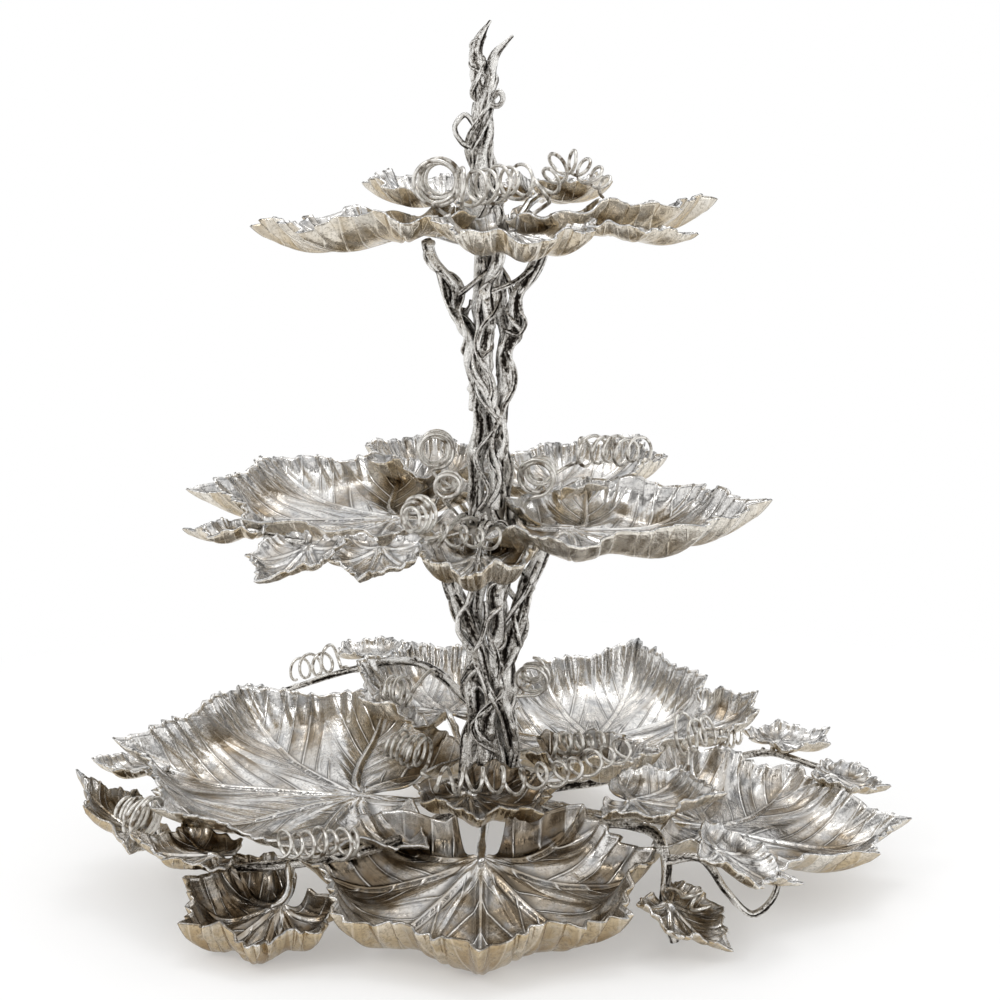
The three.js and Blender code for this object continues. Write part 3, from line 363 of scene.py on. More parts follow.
def addSheet(bm, places, maps, marks):
    # A grid moved to the places given (rows, columns, 3), with its maps and its marks for the material
    rows, columns = places.shape[0] - 1, places.shape[1] - 1
    part = bmesh.new()
    bmesh.ops.create_grid(part, x_segments=columns, y_segments=rows, size=0.5)
    mesh = meshOf(part)
    flat = np.zeros(len(mesh.vertices) * 3)
    mesh.vertices.foreach_get("co", flat)
    flat = flat.reshape(-1, 3)
    i = np.rint((flat[:, 0] + 0.5) * columns).astype(int)
    j = np.rint((flat[:, 1] + 0.5) * rows).astype(int)
    mesh.vertices.foreach_set("co", (places[j, i] * mm).ravel())
    for name, values in marks.items():
        values = np.broadcast_to(values, places.shape[:2])
        mesh.attributes.new(name, "FLOAT", "POINT").data.foreach_set("value", values[j, i].astype(np.float32))
    corner = np.zeros(len(mesh.loops), int)
    mesh.loops.foreach_get("vertex_index", corner)
    for name, (u, v) in maps.items():
        uv = np.stack(np.broadcast_arrays(u, v, places[..., 0])[:2], axis=-1)
        mesh.uv_layers.new(name=name).data.foreach_set("uv", uv[j, i][corner].ravel())
    moveInto(bm, mesh)


def closeUp(bm):
    weldWithin = 0.002 * mm
    bmesh.ops.remove_doubles(bm, verts=bm.verts, dist=weldWithin)
    bmesh.ops.recalc_face_normals(bm, faces=bm.faces)


def frameAlong(line):
    # Tangents, and two directions square to them that turn as little as they can along the line
    tangents = np.gradient(line, axis=0)
    tangents /= np.linalg.norm(tangents, axis=1)[:, None]
    side = np.array([0, 0, 1.0]) if abs(tangents[0, 2]) < 0.8 else np.array([1.0, 0, 0])
    across = np.cross(side, tangents[0])
    acrosses = []
    for t in tangents:
        across = across - t * across.dot(t)
        across = across / np.linalg.norm(across)
        acrosses.append(across)
    acrosses = np.array(acrosses)
    return tangents, acrosses, np.cross(tangents, acrosses)


# How a tube ends: rows of radius and of reach past the end, in shares of its radius
domed = [(1.0, 0.0), (0.9, 0.45), (0.6, 0.8), (0.0, 1.0)]
sawn = [(1.0, 0.0), (0.82, 0.16), (0.45, 0.10), (0.0, 0.06)]
strands = {     # sides round, mm from ring to ring and from bud knot to bud knot, and the end
    "twig": {"sides": 22, "step": 1.6, "knots": 22, "end": sawn},
    "sideTwig": {"sides": 20, "step": 1.6, "knots": 22, "end": sawn},
    "stub": {"sides": 16, "knots": 9, "end": sawn},
    "stalk": {"sides": 34, "step": 1.5, "knots": 26, "end": sawn},
    "vine": {"sides": 16, "step": 1.2, "knots": 12, "end": sawn},
    "root": {"sides": 18, "knots": 11, "end": domed},
    "climber": {"sides": 16, "knots": 12, "end": domed},
    "bridge": {"sides": 18, "step": 1.3, "knots": 14, "end": domed},
    "shoot": {"sides": 26, "step": 1.2, "knots": 14, "end": domed},
    "curl": {"sides": 16, "step": 1.0, "knots": 14, "end": domed},
    "smallCurl": {"sides": 16, "step": 0.8, "knots": 14, "end": domed},
    "smoothCurl": {"sides": 16, "step": 1.0, "knots": 60, "end": domed},
    "rootlet": {"sides": 14, "step": 1.0, "knots": 9, "end": domed},
    "leafStalk": {"sides": 18, "step": 1.6, "knots": 60, "end": domed},
}
barkRelief = {
    "waves": ((1, 0.07), (2, 0.09), (3, 0.09), (5, 0.07), (7, 0.05)),   # ribs round a strand, and their height
    "seam": (0.12, 0.28),       # depth and width of the long seams
    "knotTall": (0.2, 0.5),     # height of a bud knot, as the rest in shares of the strand's radius
    "knotWide": (1.8, 3.2),     # mm along the strand
    "knotRuns": 240,            # mm of a strand that have knots
    "contrast": 2.2,            # how fast the material brightens with the relief
}


def tube(bm, line, radius, sides, relief=None, end=domed):
    # A closed tube along a line. Radius goes by the share of its length, and relief(turn, run) gives how far
    # the bark stands, as a share of the radius
    tangents, _, _ = frameAlong(line)
    radii = np.array([float(radius(s)) for s in np.linspace(0, 1, len(line))])
    head = [line[0] - tangents[0] * radii[0] * h for _, h in reversed(end[1:])]
    tail = [line[-1] + tangents[-1] * radii[-1] * h for _, h in end[1:]]
    headReach = [r * radii[0] for r, _ in reversed(end[1:])]
    tailReach = [r * radii[-1] for r, _ in end[1:]]
    full = np.concatenate([head, line, tail])
    _, across, up = frameAlong(full)
    run = np.concatenate([[0], np.cumsum(np.linalg.norm(np.diff(full, axis=0), axis=1))])[:, None]
    turn = np.linspace(0, 2 * math.pi, sides + 1)[None, :]
    stand = relief(turn, run) if relief else np.zeros((len(full), sides + 1))
    reach = (np.concatenate([headReach, radii, tailReach])[:, None] * (1 + stand))[..., None]
    places = full[:, None, :] + reach * (across[:, None, :] * np.cos(turn)[..., None]
                                         + up[:, None, :] * np.sin(turn)[..., None])
    part = bmesh.new()
    girth = float(np.mean(radii)) * mm
    addSheet(part, places, {"chase": (turn * girth, run * mm)},
             {"ridge": np.clip(0.5 + stand * barkRelief["contrast"], 0, 1)})
    closeUp(part)
    moveInto(bm, meshOf(part))


def barkOf(seed, knotEvery):
    # Furrows that part and meet as they run, and bud knots here and there on one side. Each furrow's numbers
    # are its drift, start, bend, the bend's start and how far it sways
    draw = np.random.default_rng(seed)
    waves = [(k, depth, *draw.uniform((-0.10, 0, 0.06, 0, 0.6), (0.10, 6.28, 0.16, 6.28, 1.5)))
             for k, depth in barkRelief["waves"]]
    knots = [(at + draw.uniform(-8, 8), draw.uniform(0, 6.28), draw.uniform(*barkRelief["knotTall"]),
              draw.uniform(*barkRelief["knotWide"]))
             for at in np.arange(knotEvery * 0.6, barkRelief["knotRuns"], knotEvery)]
    seam, seamWidth = barkRelief["seam"]

    def relief(turn, run):
        stand = sum(depth * np.cos(k * turn + drift * run + phase + sway * np.sin(bend * run + at))
                    for k, depth, drift, phase, bend, at, sway in waves)
        stand = stand - seam * np.exp(-(np.sin(1.5 * turn + 0.05 * run + seed) / seamWidth) ** 2)
        for at, side, tall, wide in knots:
            stand = stand + tall * np.exp(-((run - at) / wide) ** 2 - (1 - np.cos(turn - side)) / 0.25)
        return stand

    return relief


def grow(bm, kind, line, radius, seed):
    strand = strands[kind]
    tube(bm, line, radius, strand["sides"], barkOf(seed, strand["knots"]), strand["end"])


def addPiece(name, bm, material, body, replaced=()):
    piece = placeObject(name, meshOf(bm, name))
    piece.data.materials.append(material)
    piece.data.polygons.foreach_set("use_smooth", np.ones(len(piece.data.polygons), bool))
    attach(piece, body)
    if replaced:
        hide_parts(*replaced)
    return piece


# Height is the plate's top, and plate, bore and rootlets are radii. Shade is how far the leaves close to the
# stem are darkened into their tarnish tones, as painted shade
tiers = {
    "base": {"body": "base", "height": 46, "plate": 25, "bore": 5.35, "rootlets": 19, "shade": 0.42},
    "middle": {"body": "middle_tier", "height": 220, "plate": 22, "bore": 5.35, "rootlets": 19, "shade": 0.2},
    "top": {"body": "top_tier", "height": 396, "plate": 19, "bore": 4.35, "rootlets": 16, "shade": 0.2},
}
plateThickness = 5


def inTier(tier, point):
    return np.array([point[0], point[1], point[2] + tiers[tier]["height"]], float)


def atPlate(tier, angle, inward=1, drop=plateThickness / 2):
    # Where a twig, a leaf's stalk or a wire is soldered to the plate's rim
    reach = tiers[tier]["plate"] - inward
    return np.array([reach * math.cos(angle * degree), reach * math.sin(angle * degree),
                     tiers[tier]["height"] - drop])


# Points are from the tier's plate. A stub is where on the twig, its direction and its radius
twigs = {
    "front_left": {"tier": "base", "angle": 227, "thick": [3.4, 3, 2.6, 2],
                   "points": [(-44, -62, -6), (-88, -108, -5), (-150, -94, -16), (-196, -64, -14),
                              (-206, -34, 4), (-200, -14, 15)],
                   "stubs": [(0.3, (0.2, -1, 0.9), 1.8), (0.62, (-0.4, -1, 0.4), 1.6)]},
    "back_left": {"tier": "base", "root": (-8, 8, 52), "thick": [3.2, 2.8, 2.4, 1.8],
                  "points": [(-46, 58, 68), (-96, 116, 50), (-146, 108, 36)],
                  "stubs": [(0.35, (-0.5, -0.4, 1), 1.7), (0.62, (0, -0.6, 1), 1.5),
                            (0.85, (-1, 0.2, 0.9), 1.4)]},
    "right_front": {"tier": "base", "angle": 322, "thick": [3.2, 3, 2.8, 2.6],
                    "points": [(60, -62, 2), (96, -108, 8), (101, -124, -2), (99, -132, -24),
                               (105, -137, -44.6)],
                    "side": [(100, -124, -2), (119, -134, 3), (134, -141, -14), (148, -143, -26),
                             (160, -141, -16), (163, -138, -3)],
                    "stubs": [(0.42, (1, -0.2, 0.8), 1.8), (0.72, (-1, -0.4, 0.1), 1.7)]},
    "right": {"tier": "base", "angle": 15, "thick": [3.2, 2.8, 2.4, 2],
              "points": [(84, 26, 0), (146, 46, 4), (184, 48, 10), (212, 24, 8)],
              "stubs": [(0.55, (0.3, -1, 0.6), 1.6), (0.8, (0.4, 1, 0.7), 1.4)]},
    "middle": {"tier": "middle", "angle": 223, "thick": [2.6, 2.4, 2.1, 1.7],
               "points": [(-34, -56, -8), (-70, -80, -4), (-110, -74, 0), (-134, -60, 2)],
               "stubs": [(0.45, (0, -1, 0.5), 1.4)]},
}


# Where each kind of strand starts its random draws. The kinds on a stem count on from the stem's own seed
seeds = {"twig": 30, "sideTwig": 36, "twigStub": 40, "plate": 400, "rootlet": 410,
         "shoot": 20, "vine": 30, "root": 50, "climber": 60, "bridge": 65, "pruned": 70, "loop": 90}


def addStub(bm, line, at, out, thick, seed):
    # The stump of a shoot pruned off a stalk or twig
    i = min(len(line) - 2, round(at * (len(line) - 1)))
    way = np.asarray(out, float)
    way /= np.linalg.norm(way)
    line = np.array([line[i] + way * d for d in np.linspace(0, thick * 3.2, 8)])
    grow(bm, "stub", line, lambda s: thick * (1.15 - 0.3 * s), seed)


for number, (twigName, twig) in enumerate(twigs.items()):
    # Each runs from the plate, or from a root on the stem, and its line is kept for leaves and wires to sit on
    tier = twig["tier"]
    root = inTier(tier, twig["root"]) if "root" in twig else atPlate(tier, twig["angle"])
    twig["line"] = curveThrough([root] + [inTier(tier, p) for p in twig["points"]], strands["twig"]["step"])
    bm = bmesh.new()
    grow(bm, "twig", twig["line"], lambda s: easedThrough(twig["thick"], s), seeds["twig"] + number)
    if "side" in twig:
        twig["sideLine"] = curveThrough([inTier(tier, p) for p in twig["side"]], strands["sideTwig"]["step"])
        grow(bm, "sideTwig", twig["sideLine"], lambda s: 2.4 - 0.6 * s, seeds["sideTwig"] + number)
    for at, out, thick in twig["stubs"]:
        addStub(bm, twig["line"], at, out, thick, seeds["twigStub"] + number)
    addPiece(f"twig_{twigName}_branch", bm, materials["bark"], tiers[tier]["body"],
             [f"twig_{twigName}"])
print("twigs made:", len(twigs))


def nearestOn(twigName, point):
    twig = twigs[twigName]
    line = np.concatenate([twig["line"], twig.get("sideLine", twig["line"][:1])])
    return line[np.argmin(np.linalg.norm(line - point, axis=1))]


def heightIn(section, share):
    return section["foot"] + (section["head"] - section["foot"]) * share


def stalkLine(stalk, section):
    # A stalk winds round the stem's middle. Heights are shares of the section; out, its distance from the
    # middle, and thick, its radius, are shares of the foot's radius
    start, end = stalk["heights"]
    span = abs(end - start) * (section["head"] - section["foot"])
    s = np.linspace(0, 1, round(span / strands["stalk"]["step"]) + 1)
    strayOut, strayRound = 0.9, 7       # mm and degrees that it strays at each kink
    beat = 2 * math.pi * span / section["kink"] * s + stalk["angle"]
    calm = np.sin(math.pi * np.clip(s, 0, 1)) ** 0.5
    out = easedThrough(stalk["out"], s) * section["radius"] + strayOut * calm * np.sin(1.3 * beat)
    turn = (stalk["angle"] + stalk["twist"] * s + strayRound * calm * np.sin(beat)) * degree
    lean = section["lean"] * np.sin(np.pi * s * 0.8)
    z = heightIn(section, start + (end - start) * s)
    return np.stack([out * np.cos(turn) - lean, out * np.sin(turn), z], axis=1)


def windStalks(bm, section, seed):
    # Returns each stalk's line and radii, for the vines to lie on
    wound = []
    for number, row in enumerate(section["stalks"]):
        stalk = dict(zip(("angle", "twist", "heights", "out", "thick"), row))
        line = stalkLine(stalk, section)
        draw = np.random.default_rng(seed + number)
        beat, at = draw.uniform(12, 20), draw.uniform(0, 6)

        def radius(s):
            return easedThrough(stalk["thick"], s) * section["radius"] * (1 + 0.1 * math.sin(beat * s + at))

        grow(bm, "stalk", line, radius, seed + number)
        wound.append((line, np.array([float(radius(s)) for s in np.linspace(0, 1, len(line))])))
    return wound


def bundleReach(wound, middle, z, angle):
    # How far from the middle the outermost stalk's skin is, in one direction at one height
    way = np.array([math.cos(angle), math.sin(angle)])
    best = np.nan
    for line, radii in wound:
        i = int(np.argmin(np.abs(line[:, 2] - z)))
        if abs(line[i, 2] - z) > 2.5:       # the stalk doesn't pass this height
            continue
        centre, r = line[i, :2] - middle, radii[i]
        miss = abs(centre[0] * way[1] - centre[1] * way[0])
        ahead = centre @ way
        if miss < r and ahead > 0:
            best = np.nanmax([best, ahead + math.sqrt(r * r - miss * miss)])
    return best


def drapeVine(bm, section, wound, row, seed):
    # A thin vine that climbs the outside of the bundle, lying on whatever stalk is under it
    vine = dict(zip(("angle", "twist", "heights", "thick", "sway", "beats", "loose"), row))
    start, end = (heightIn(section, share) for share in vine["heights"])
    s = np.linspace(0, 1, round(abs(end - start) / strands["vine"]["step"]) + 1)
    z = start + (end - start) * s
    wander = vine["sway"] * np.sin(vine["beats"] * 2 * math.pi * s)
    angle = (vine["angle"] + vine["twist"] * s + wander) * degree
    mainStalks = [line for line, _ in wound[:3]]
    middle = np.mean([[np.interp(z, line[:, 2], line[:, k]) for k in (0, 1)] for line in mainStalks], axis=0).T
    reach = np.array([bundleReach(wound, *at) for at in zip(middle, z, angle)])
    known = np.flatnonzero(~np.isnan(reach))
    reach = np.interp(np.arange(len(reach)), known, reach[known])
    softened = 13       # points over which the vine rides from one stalk to the next
    window = np.hanning(softened) / np.hanning(softened).sum()
    reach = np.convolve(np.pad(reach, softened // 2, mode="edge"), window, mode="valid")
    thick = vine["thick"]
    out = reach + thick * 0.3 + vine["loose"] * np.sin(math.pi * s) ** 2
    line = np.stack([middle[:, 0] + out * np.cos(angle), middle[:, 1] + out * np.sin(angle), z], axis=1)
    grow(bm, "vine", line, lambda t: thick * (1 - 0.25 * t), seed)


def spinProfile(bm, profile, columns=72):
    # A turned shape about Z from radius and height pairs that start and end on the axis or form a loop
    turn = np.linspace(0, 2 * math.pi, columns + 1)[None, :]
    radii, heights = (np.array(v, float)[:, None] for v in zip(*profile))
    heights = np.broadcast_to(heights, (len(profile), columns + 1))
    places = np.stack([radii * np.cos(turn), radii * np.sin(turn), heights], axis=-1)
    meanRadius = 12     # mm, near enough for the map of each fitting
    part = bmesh.new()
    addSheet(part, places, {"chase": (turn * meanRadius * mm, np.cumsum(radii)[:, None] * mm)}, {"ridge": 0.5})
    closeUp(part)
    sharpFrom = 30 * degree
    for edge in part.edges:
        edge.smooth = edge.calc_face_angle(0) < sharpFrom
    moveInto(bm, meshOf(part))


def rootRing(bm, section, count, tall, seed):
    # Roots that climb off the turned foot of a section and hide it
    draw = np.random.default_rng(seed)
    radius, rings = section["radius"], 34
    for number in range(count):
        angle = 2 * math.pi * (number + draw.uniform(-0.25, 0.25)) / count
        lean = draw.uniform(-0.5, 0.5)
        height = tall * draw.uniform(0.25, 1.15)
        s = np.linspace(0, 1, rings)
        out = radius * (section["spread"] - 0.36 * s ** 0.7) + 0.9 * np.sin(9 * s + number)
        turn = angle + lean * s + 0.14 * np.sin(8 * s + 2 * number)
        line = np.stack([out * np.cos(turn), out * np.sin(turn), section["foot"] + 1.2 + height * s], axis=1)
        thick = radius * draw.uniform(0.13, 0.24)
        grow(bm, "root", line, lambda t: thick * (1.1 - 0.75 * t), seed + 3 * number)


def climb(bm, stalk, turns, thick, seed, start=0.3, end=0.95):
    # A shoot that winds round one stalk
    line, radii = stalk
    _, across, up = frameAlong(line)
    span = slice(round(start * len(line)), round(end * len(line)))
    s = np.linspace(0, 1, len(line[span]))
    turn = 2 * math.pi * turns * s + seed + 0.8 * np.sin(7 * s)
    out = radii[span] + 0.45 * thick
    line = (line[span] + (out * np.cos(turn))[:, None] * across[span]
            + (out * np.sin(turn))[:, None] * up[span])
    grow(bm, "climber", line, lambda t: thick * (1 - 0.2 * t - 0.4 * max(0, t - 0.8) / 0.2), seed)


def bridge(bm, wound, ends, bulge, thick, seed):
    # A shoot that crosses the open space between two stalks
    (first, at), (second, to) = ends
    a = wound[first][0][round(at * (len(wound[first][0]) - 1))]
    b = wound[second][0][round(to * (len(wound[second][0]) - 1))]
    line = curveThrough([a, (a + b) / 2 + np.array(bulge, float), b], strands["bridge"]["step"])
    grow(bm, "bridge", line, lambda t: thick * (1.15 - 0.3 * math.sin(math.pi * t)), seed)


def addShoot(bm, section, points, thick, kind, seed):
    # x and y in shares of the foot's radius, heights in shares of the section
    r = section["radius"]
    points = [(x * r, y * r, heightIn(section, share)) for x, y, share in points]
    line = curveThrough(points, strands[kind]["step"])
    grow(bm, kind, line, lambda t: easedThrough(thick, t), seed)
    return line, np.array([float(easedThrough(thick, t)) for t in np.linspace(0, 1, len(line))])


# Each section of the stem. Foot and head are heights, and roots their count and height. The rows give:
# stalks their angle, twist, heights, distances out and radii, vines their angle, twist, heights, radius, sway,
# beats and slack, climbers their stalk, turns, radius, start and end, bridges their ends, bulge and radius,
# pruned shoots their stalk, place, angle, rise and radius, and turned fittings radius and height pairs
lowerStem = {
    "node": "lower_stem", "pieces": ("lower_stem_stalks", "lower_stem_fittings"), "body": "base", "seed": 100,
    "foot": 46.3, "head": 214.7, "radius": 17, "lean": 0, "kink": 46, "spread": 0.98, "roots": (13, 52),
    "stalks": [
        (232, 115, (0.048, 0.982), [0.706, 0.56, 0.52, 0.412], [0.382, 0.28, 0.23, 0.25]),
        (352, 120, (0.048, 0.982), [0.735, 0.56, 0.52, 0.412], [0.365, 0.28, 0.23, 0.25]),
        (112, 110, (0.048, 0.982), [0.706, 0.56, 0.52, 0.412], [0.365, 0.28, 0.23, 0.25]),
        (215, -45, (0.024, 1.005), [0.882, 0.647, 0.559, 1.294, 2.294], [0.294, 0.306, 0.318, 0.294, 0.271]),
        (335, 25, (0.024, 1.005), [0.941, 0.676, 0.618, 1.294, 2.176], [0.271, 0.294, 0.306, 0.282, 0.259]),
        (55, 30, (0.356, 1.02), [0.471, 0.588, 1.176, 2.118], [0.282, 0.271, 0.259, 0.235]),
        (285, 5, (0.392, 0.985), [0.529, 0.588, 1.176, 1.941], [0.259, 0.259, 0.247, 0.224]),
        (165, 205, (0.846, 0.024), [1.588, 0.853, 0.824, 0.824, 1.059], [0.176, 0.188, 0.2, 0.188, 0.176])],
    "vines": [
        (188, 62, (0.97, 0.36), 2.4, 18, 1.4, 2.5),
        (235, 40, (0.42, 0.06), 1.7, 30, 1.6, 1.0),
        (300, 35, (0.04, 0.56), 2.9, 20, 1.1, 0.3),
        (330, -70, (0.96, 0.46), 2.1, 24, 1.3, 2.0),
        (262, 26, (0.05, 0.66), 1.4, 34, 1.9, 0.8),
        (205, -50, (0.05, 0.50), 2.7, 12, 1.0, 0.0),
        (20, 150, (0.05, 0.80), 2.3, 16, 1.4, 0.5),
        (60, -90, (0.95, 0.30), 1.9, 22, 1.6, 1.5),
        (140, 120, (0.05, 0.75), 2.3, 18, 1.5, 0.5)],
    "climbers": [(3, 1.6, 2.0), (3, -1.2, 1.4), (4, -1.5, 1.9), (5, 1.2, 1.7), (6, 1.4, 1.6)],
    "bridges": [
        (((3, 0.84), (0, 0.97)), (0, -5, 3), 2.3), (((4, 0.80), (1, 0.95)), (2, -4, 4), 2.0),
        (((6, 0.80), (3, 0.90)), (-2, -4, -3), 1.8), (((0, 0.62), (4, 0.93)), (3, -6, 0), 1.9)],
    "pruned": [
        (3, 0.72, 200, 0.9, 2.6), (4, 0.75, 330, 1.0, 2.6), (0, 0.62, 262, 1.6, 2.8), (6, 0.7, 262, -0.6, 2.4),
        (5, 0.6, 80, 0.8, 2.2), (1, 0.35, 150, 0.7, 2.0), (3, 0.3, 235, 0.8, 2.0)],
    "turned": [
        [(0, 31), (4, 31), (5, 32), (5, 46.3), (16, 46.3), (17, 48.3), (13.5, 58), (11.9, 62.3), (0, 62.3)],
        [(0, 207.7), (10.5, 207.7), (14, 212.7), (14, 214.7), (5, 214.7), (5, 230), (4, 231), (0, 231)]],
}
upperStem = {
    "node": "upper_stem", "pieces": ("upper_stem_stalks", "upper_stem_fittings"), "body": "upper_stem",
    "seed": 200,
    "foot": 220.3, "head": 390.7, "radius": 14, "lean": 0, "kink": 40, "spread": 0.86, "roots": (10, 34),
    "stalks": [
        (170, 130, (0.053, 0.982), [0.607, 0.6, 0.6, 0.429], [0.357, 0.26, 0.25, 0.27]),
        (290, 130, (0.053, 0.982), [0.607, 0.6, 0.6, 0.429], [0.357, 0.26, 0.25, 0.27]),
        (50, 130, (0.053, 0.982), [0.607, 0.6, 0.6, 0.429], [0.357, 0.26, 0.25, 0.27]),
        (190, -8, (0.411, 1.008), [0.571, 0.786, 1.571, 2.714], [0.3, 0.329, 0.3, 0.257]),
        (345, 10, (0.364, 1.015), [0.571, 0.714, 1.214, 2.357], [0.286, 0.314, 0.286, 0.257]),
        (120, -32, (0.44, 1.02), [0.571, 0.714, 1.214, 2.143], [0.286, 0.3, 0.271, 0.243]),
        (240, 40, (0.481, 0.98), [0.571, 0.714, 1, 1.857], [0.271, 0.271, 0.257, 0.229]),
        (150, 260, (0.765, 0.035), [1.286, 0.821, 0.786, 0.786, 0.857], [0.186, 0.2, 0.2, 0.186, 0.171])],
    "vines": [
        (225, 45, (0.95, 0.42), 1.9, 16, 1.4, 2.0),
        (300, -60, (0.94, 0.45), 1.6, 26, 1.3, 1.5),
        (262, 80, (0.06, 0.62), 2.2, 22, 1.6, 0.3),
        (325, -80, (0.05, 0.50), 1.5, 26, 1.8, 0.3),
        (235, 30, (0.05, 0.36), 1.8, 24, 1.2, 0.5),
        (40, 120, (0.06, 0.80), 2.1, 16, 1.5, 0.5),
        (100, -90, (0.9, 0.3), 1.5, 20, 1.6, 1.0),
        (150, -140, (0.06, 0.75), 2.0, 16, 1.5, 0.5)],
    "climbers": [(3, 1.5, 1.7, 0.25), (3, -1.1, 1.3, 0.25), (4, -1.6, 1.6, 0.25), (5, 1.2, 1.5, 0.25),
                 (6, 1.4, 1.4, 0.25)],
    "bridges": [
        (((3, 0.66), (0, 0.93)), (0, -5, 0), 2.1), (((3, 0.40), (3, 0.86)), (-4, -3, 0), 2.0),
        (((4, 0.62), (1, 0.95)), (2, -4, 2), 1.9), (((6, 0.70), (4, 0.86)), (2, -3, -2), 1.6)],
    "pruned": [
        (3, 0.45, 195, 1.2, 2.2), (3, 0.8, 215, 0.6, 2.0), (4, 0.7, 320, 1.3, 1.9), (6, 0.6, 262, 1.0, 2.0),
        (5, 0.5, 60, 0.9, 1.8), (0, 0.4, 340, 0.6, 1.6)],
    "loop": [(10, -4, 351), (17, -5, 350), (21.5, -5, 343), (17, -5, 336), (10, -4, 338)],
    "loopThick": [1.7, 1.5, 1.4, 1.5, 1.7],
    "turned": [
        [(0, 232.5), (5.35, 232.5), (5.35, 220.3), (13, 220.3), (14, 222.3), (9.8, 236.3), (0, 236.3)],
        [(0, 383.7), (9, 383.7), (12, 388.7), (12, 390.7), (4, 390.7), (4, 406), (3, 407), (0, 407)]],
}
finial = {
    "node": "finial", "pieces": ("finial_shoots", "finial_fitting"), "body": "finial", "seed": 300,
    "foot": 396.3, "head": 523, "radius": 11, "lean": 5, "kink": 34, "spread": 0.86, "roots": (10, 30),
    "stalks": [
        (180, 250, (0.047, 0.811), [0.418, 0.327, 0.273, 0.218], [0.455, 0.436, 0.382, 0.182]),
        (300, 260, (0.047, 0.716), [0.418, 0.327, 0.273, 0.218], [0.455, 0.436, 0.382, 0.236]),
        (60, 265, (0.047, 0.747), [0.418, 0.327, 0.273, 0.218], [0.455, 0.436, 0.382, 0.218])],
    "vines": [
        (200, 300, (0.05, 0.70), 1.4, 14, 1.5, 0.0),
        (320, 290, (0.05, 0.66), 1.1, 18, 1.6, 0.0),
        (260, -120, (0.06, 0.62), 1.0, 20, 1.4, 0.3),
        (80, 310, (0.06, 0.72), 1.4, 14, 1.5, 0.0)],
    "shoots": [         # the tall tip, the forked one and two loops: points, radii and kind
        ([(-0.45, 0, 0.60), (-0.66, 0, 0.76), (-0.72, -0.05, 0.87), (-0.45, -0.09, 0.93), (0, -0.09, 0.992)],
         [4.2, 4.4, 3.9, 3.2, 1.0], "shoot"),
        ([(-0.27, 0.09, 0.60), (0.05, 0.05, 0.76), (0.28, 0.02, 0.84), (1.2, 0, 0.925)],
         [4.0, 3.9, 2.9, 0.9], "shoot"),
        ([(-0.45, -0.18, 0.40), (-1.45, -0.36, 0.426), (-1.91, -0.45, 0.505), (-1.36, -0.36, 0.56),
          (-0.64, -0.27, 0.489)], [1.9, 1.7, 1.6, 1.7, 2.0], "curl"),
        ([(-0.05, -0.35, 0.61), (0.45, -0.45, 0.60), (0.72, -0.5, 0.635), (0.50, -0.5, 0.668),
          (0.25, -0.5, 0.645)], [1.9, 1.7, 1.6, 1.6, 1.5], "smallCurl")],
    "climbers": [       # 3 and 4 are the first two shoots
        (3, 1.6, 1.5, 0.0, 0.78), (3, -1.2, 1.1, 0.1, 0.85), (4, 1.2, 1.4, 0.0, 0.6),
        (0, 1.8, 1.6, 0.1, 1.0), (1, 1.7, 1.4, 0.1, 1.0), (2, 1.5, 1.6, 0.15, 1.0)],
    "bridges": [],
    "pruned": [(0, 0.86, 200, 1.6, 1.6), (1, 0.8, 320, 1.4, 1.5), (2, 0.5, 250, 0.7, 1.3)],
    "turned": [[(0, 408.5), (4.35, 408.5), (4.35, 396.3), (10, 396.3), (11, 398.3), (7.7, 412.3), (0, 412.3)]],
}
for stem in (lowerStem, upperStem, finial):
    seed = stem["seed"]
    bm = bmesh.new()
    wound = windStalks(bm, stem, seed)
    shoots = [addShoot(bm, stem, *shoot, seed + seeds["shoot"] + number)
              for number, shoot in enumerate(stem.get("shoots", []))]
    for number, vine in enumerate(stem["vines"]):
        drapeVine(bm, stem, wound, vine, seed + seeds["vine"] + number)
    rootRing(bm, stem, *stem["roots"], seed + seeds["root"])
    for number, (stalk, turns, thick, *ends) in enumerate(stem["climbers"]):
        climb(bm, (wound + shoots)[stalk], turns, thick, seed + seeds["climber"] + number, *ends)
    for number, (ends, bulge, thick) in enumerate(stem["bridges"]):
        bridge(bm, wound, ends, bulge, thick, seed + seeds["bridge"] + number)
    for number, (stalk, at, angle, rise, thick) in enumerate(stem["pruned"]):
        out = (math.cos(angle * degree), math.sin(angle * degree), rise)
        addStub(bm, wound[stalk][0], at, out, thick, seed + seeds["pruned"] + number)
    if "loop" in stem:
        line = curveThrough(stem["loop"], strands["smoothCurl"]["step"])
        grow(bm, "smoothCurl", line, lambda s: easedThrough(stem["loopThick"], s), seed + seeds["loop"])
    barkPiece, turnedPiece = stem["pieces"]
    addPiece(barkPiece, bm, materials["bark"], stem["body"], [stem["node"]])
    bm = bmesh.new()
    for profile in stem["turned"]:
        spinProfile(bm, profile)
    addPiece(turnedPiece, bm, materials["turned"], stem["body"], [stem["node"]])

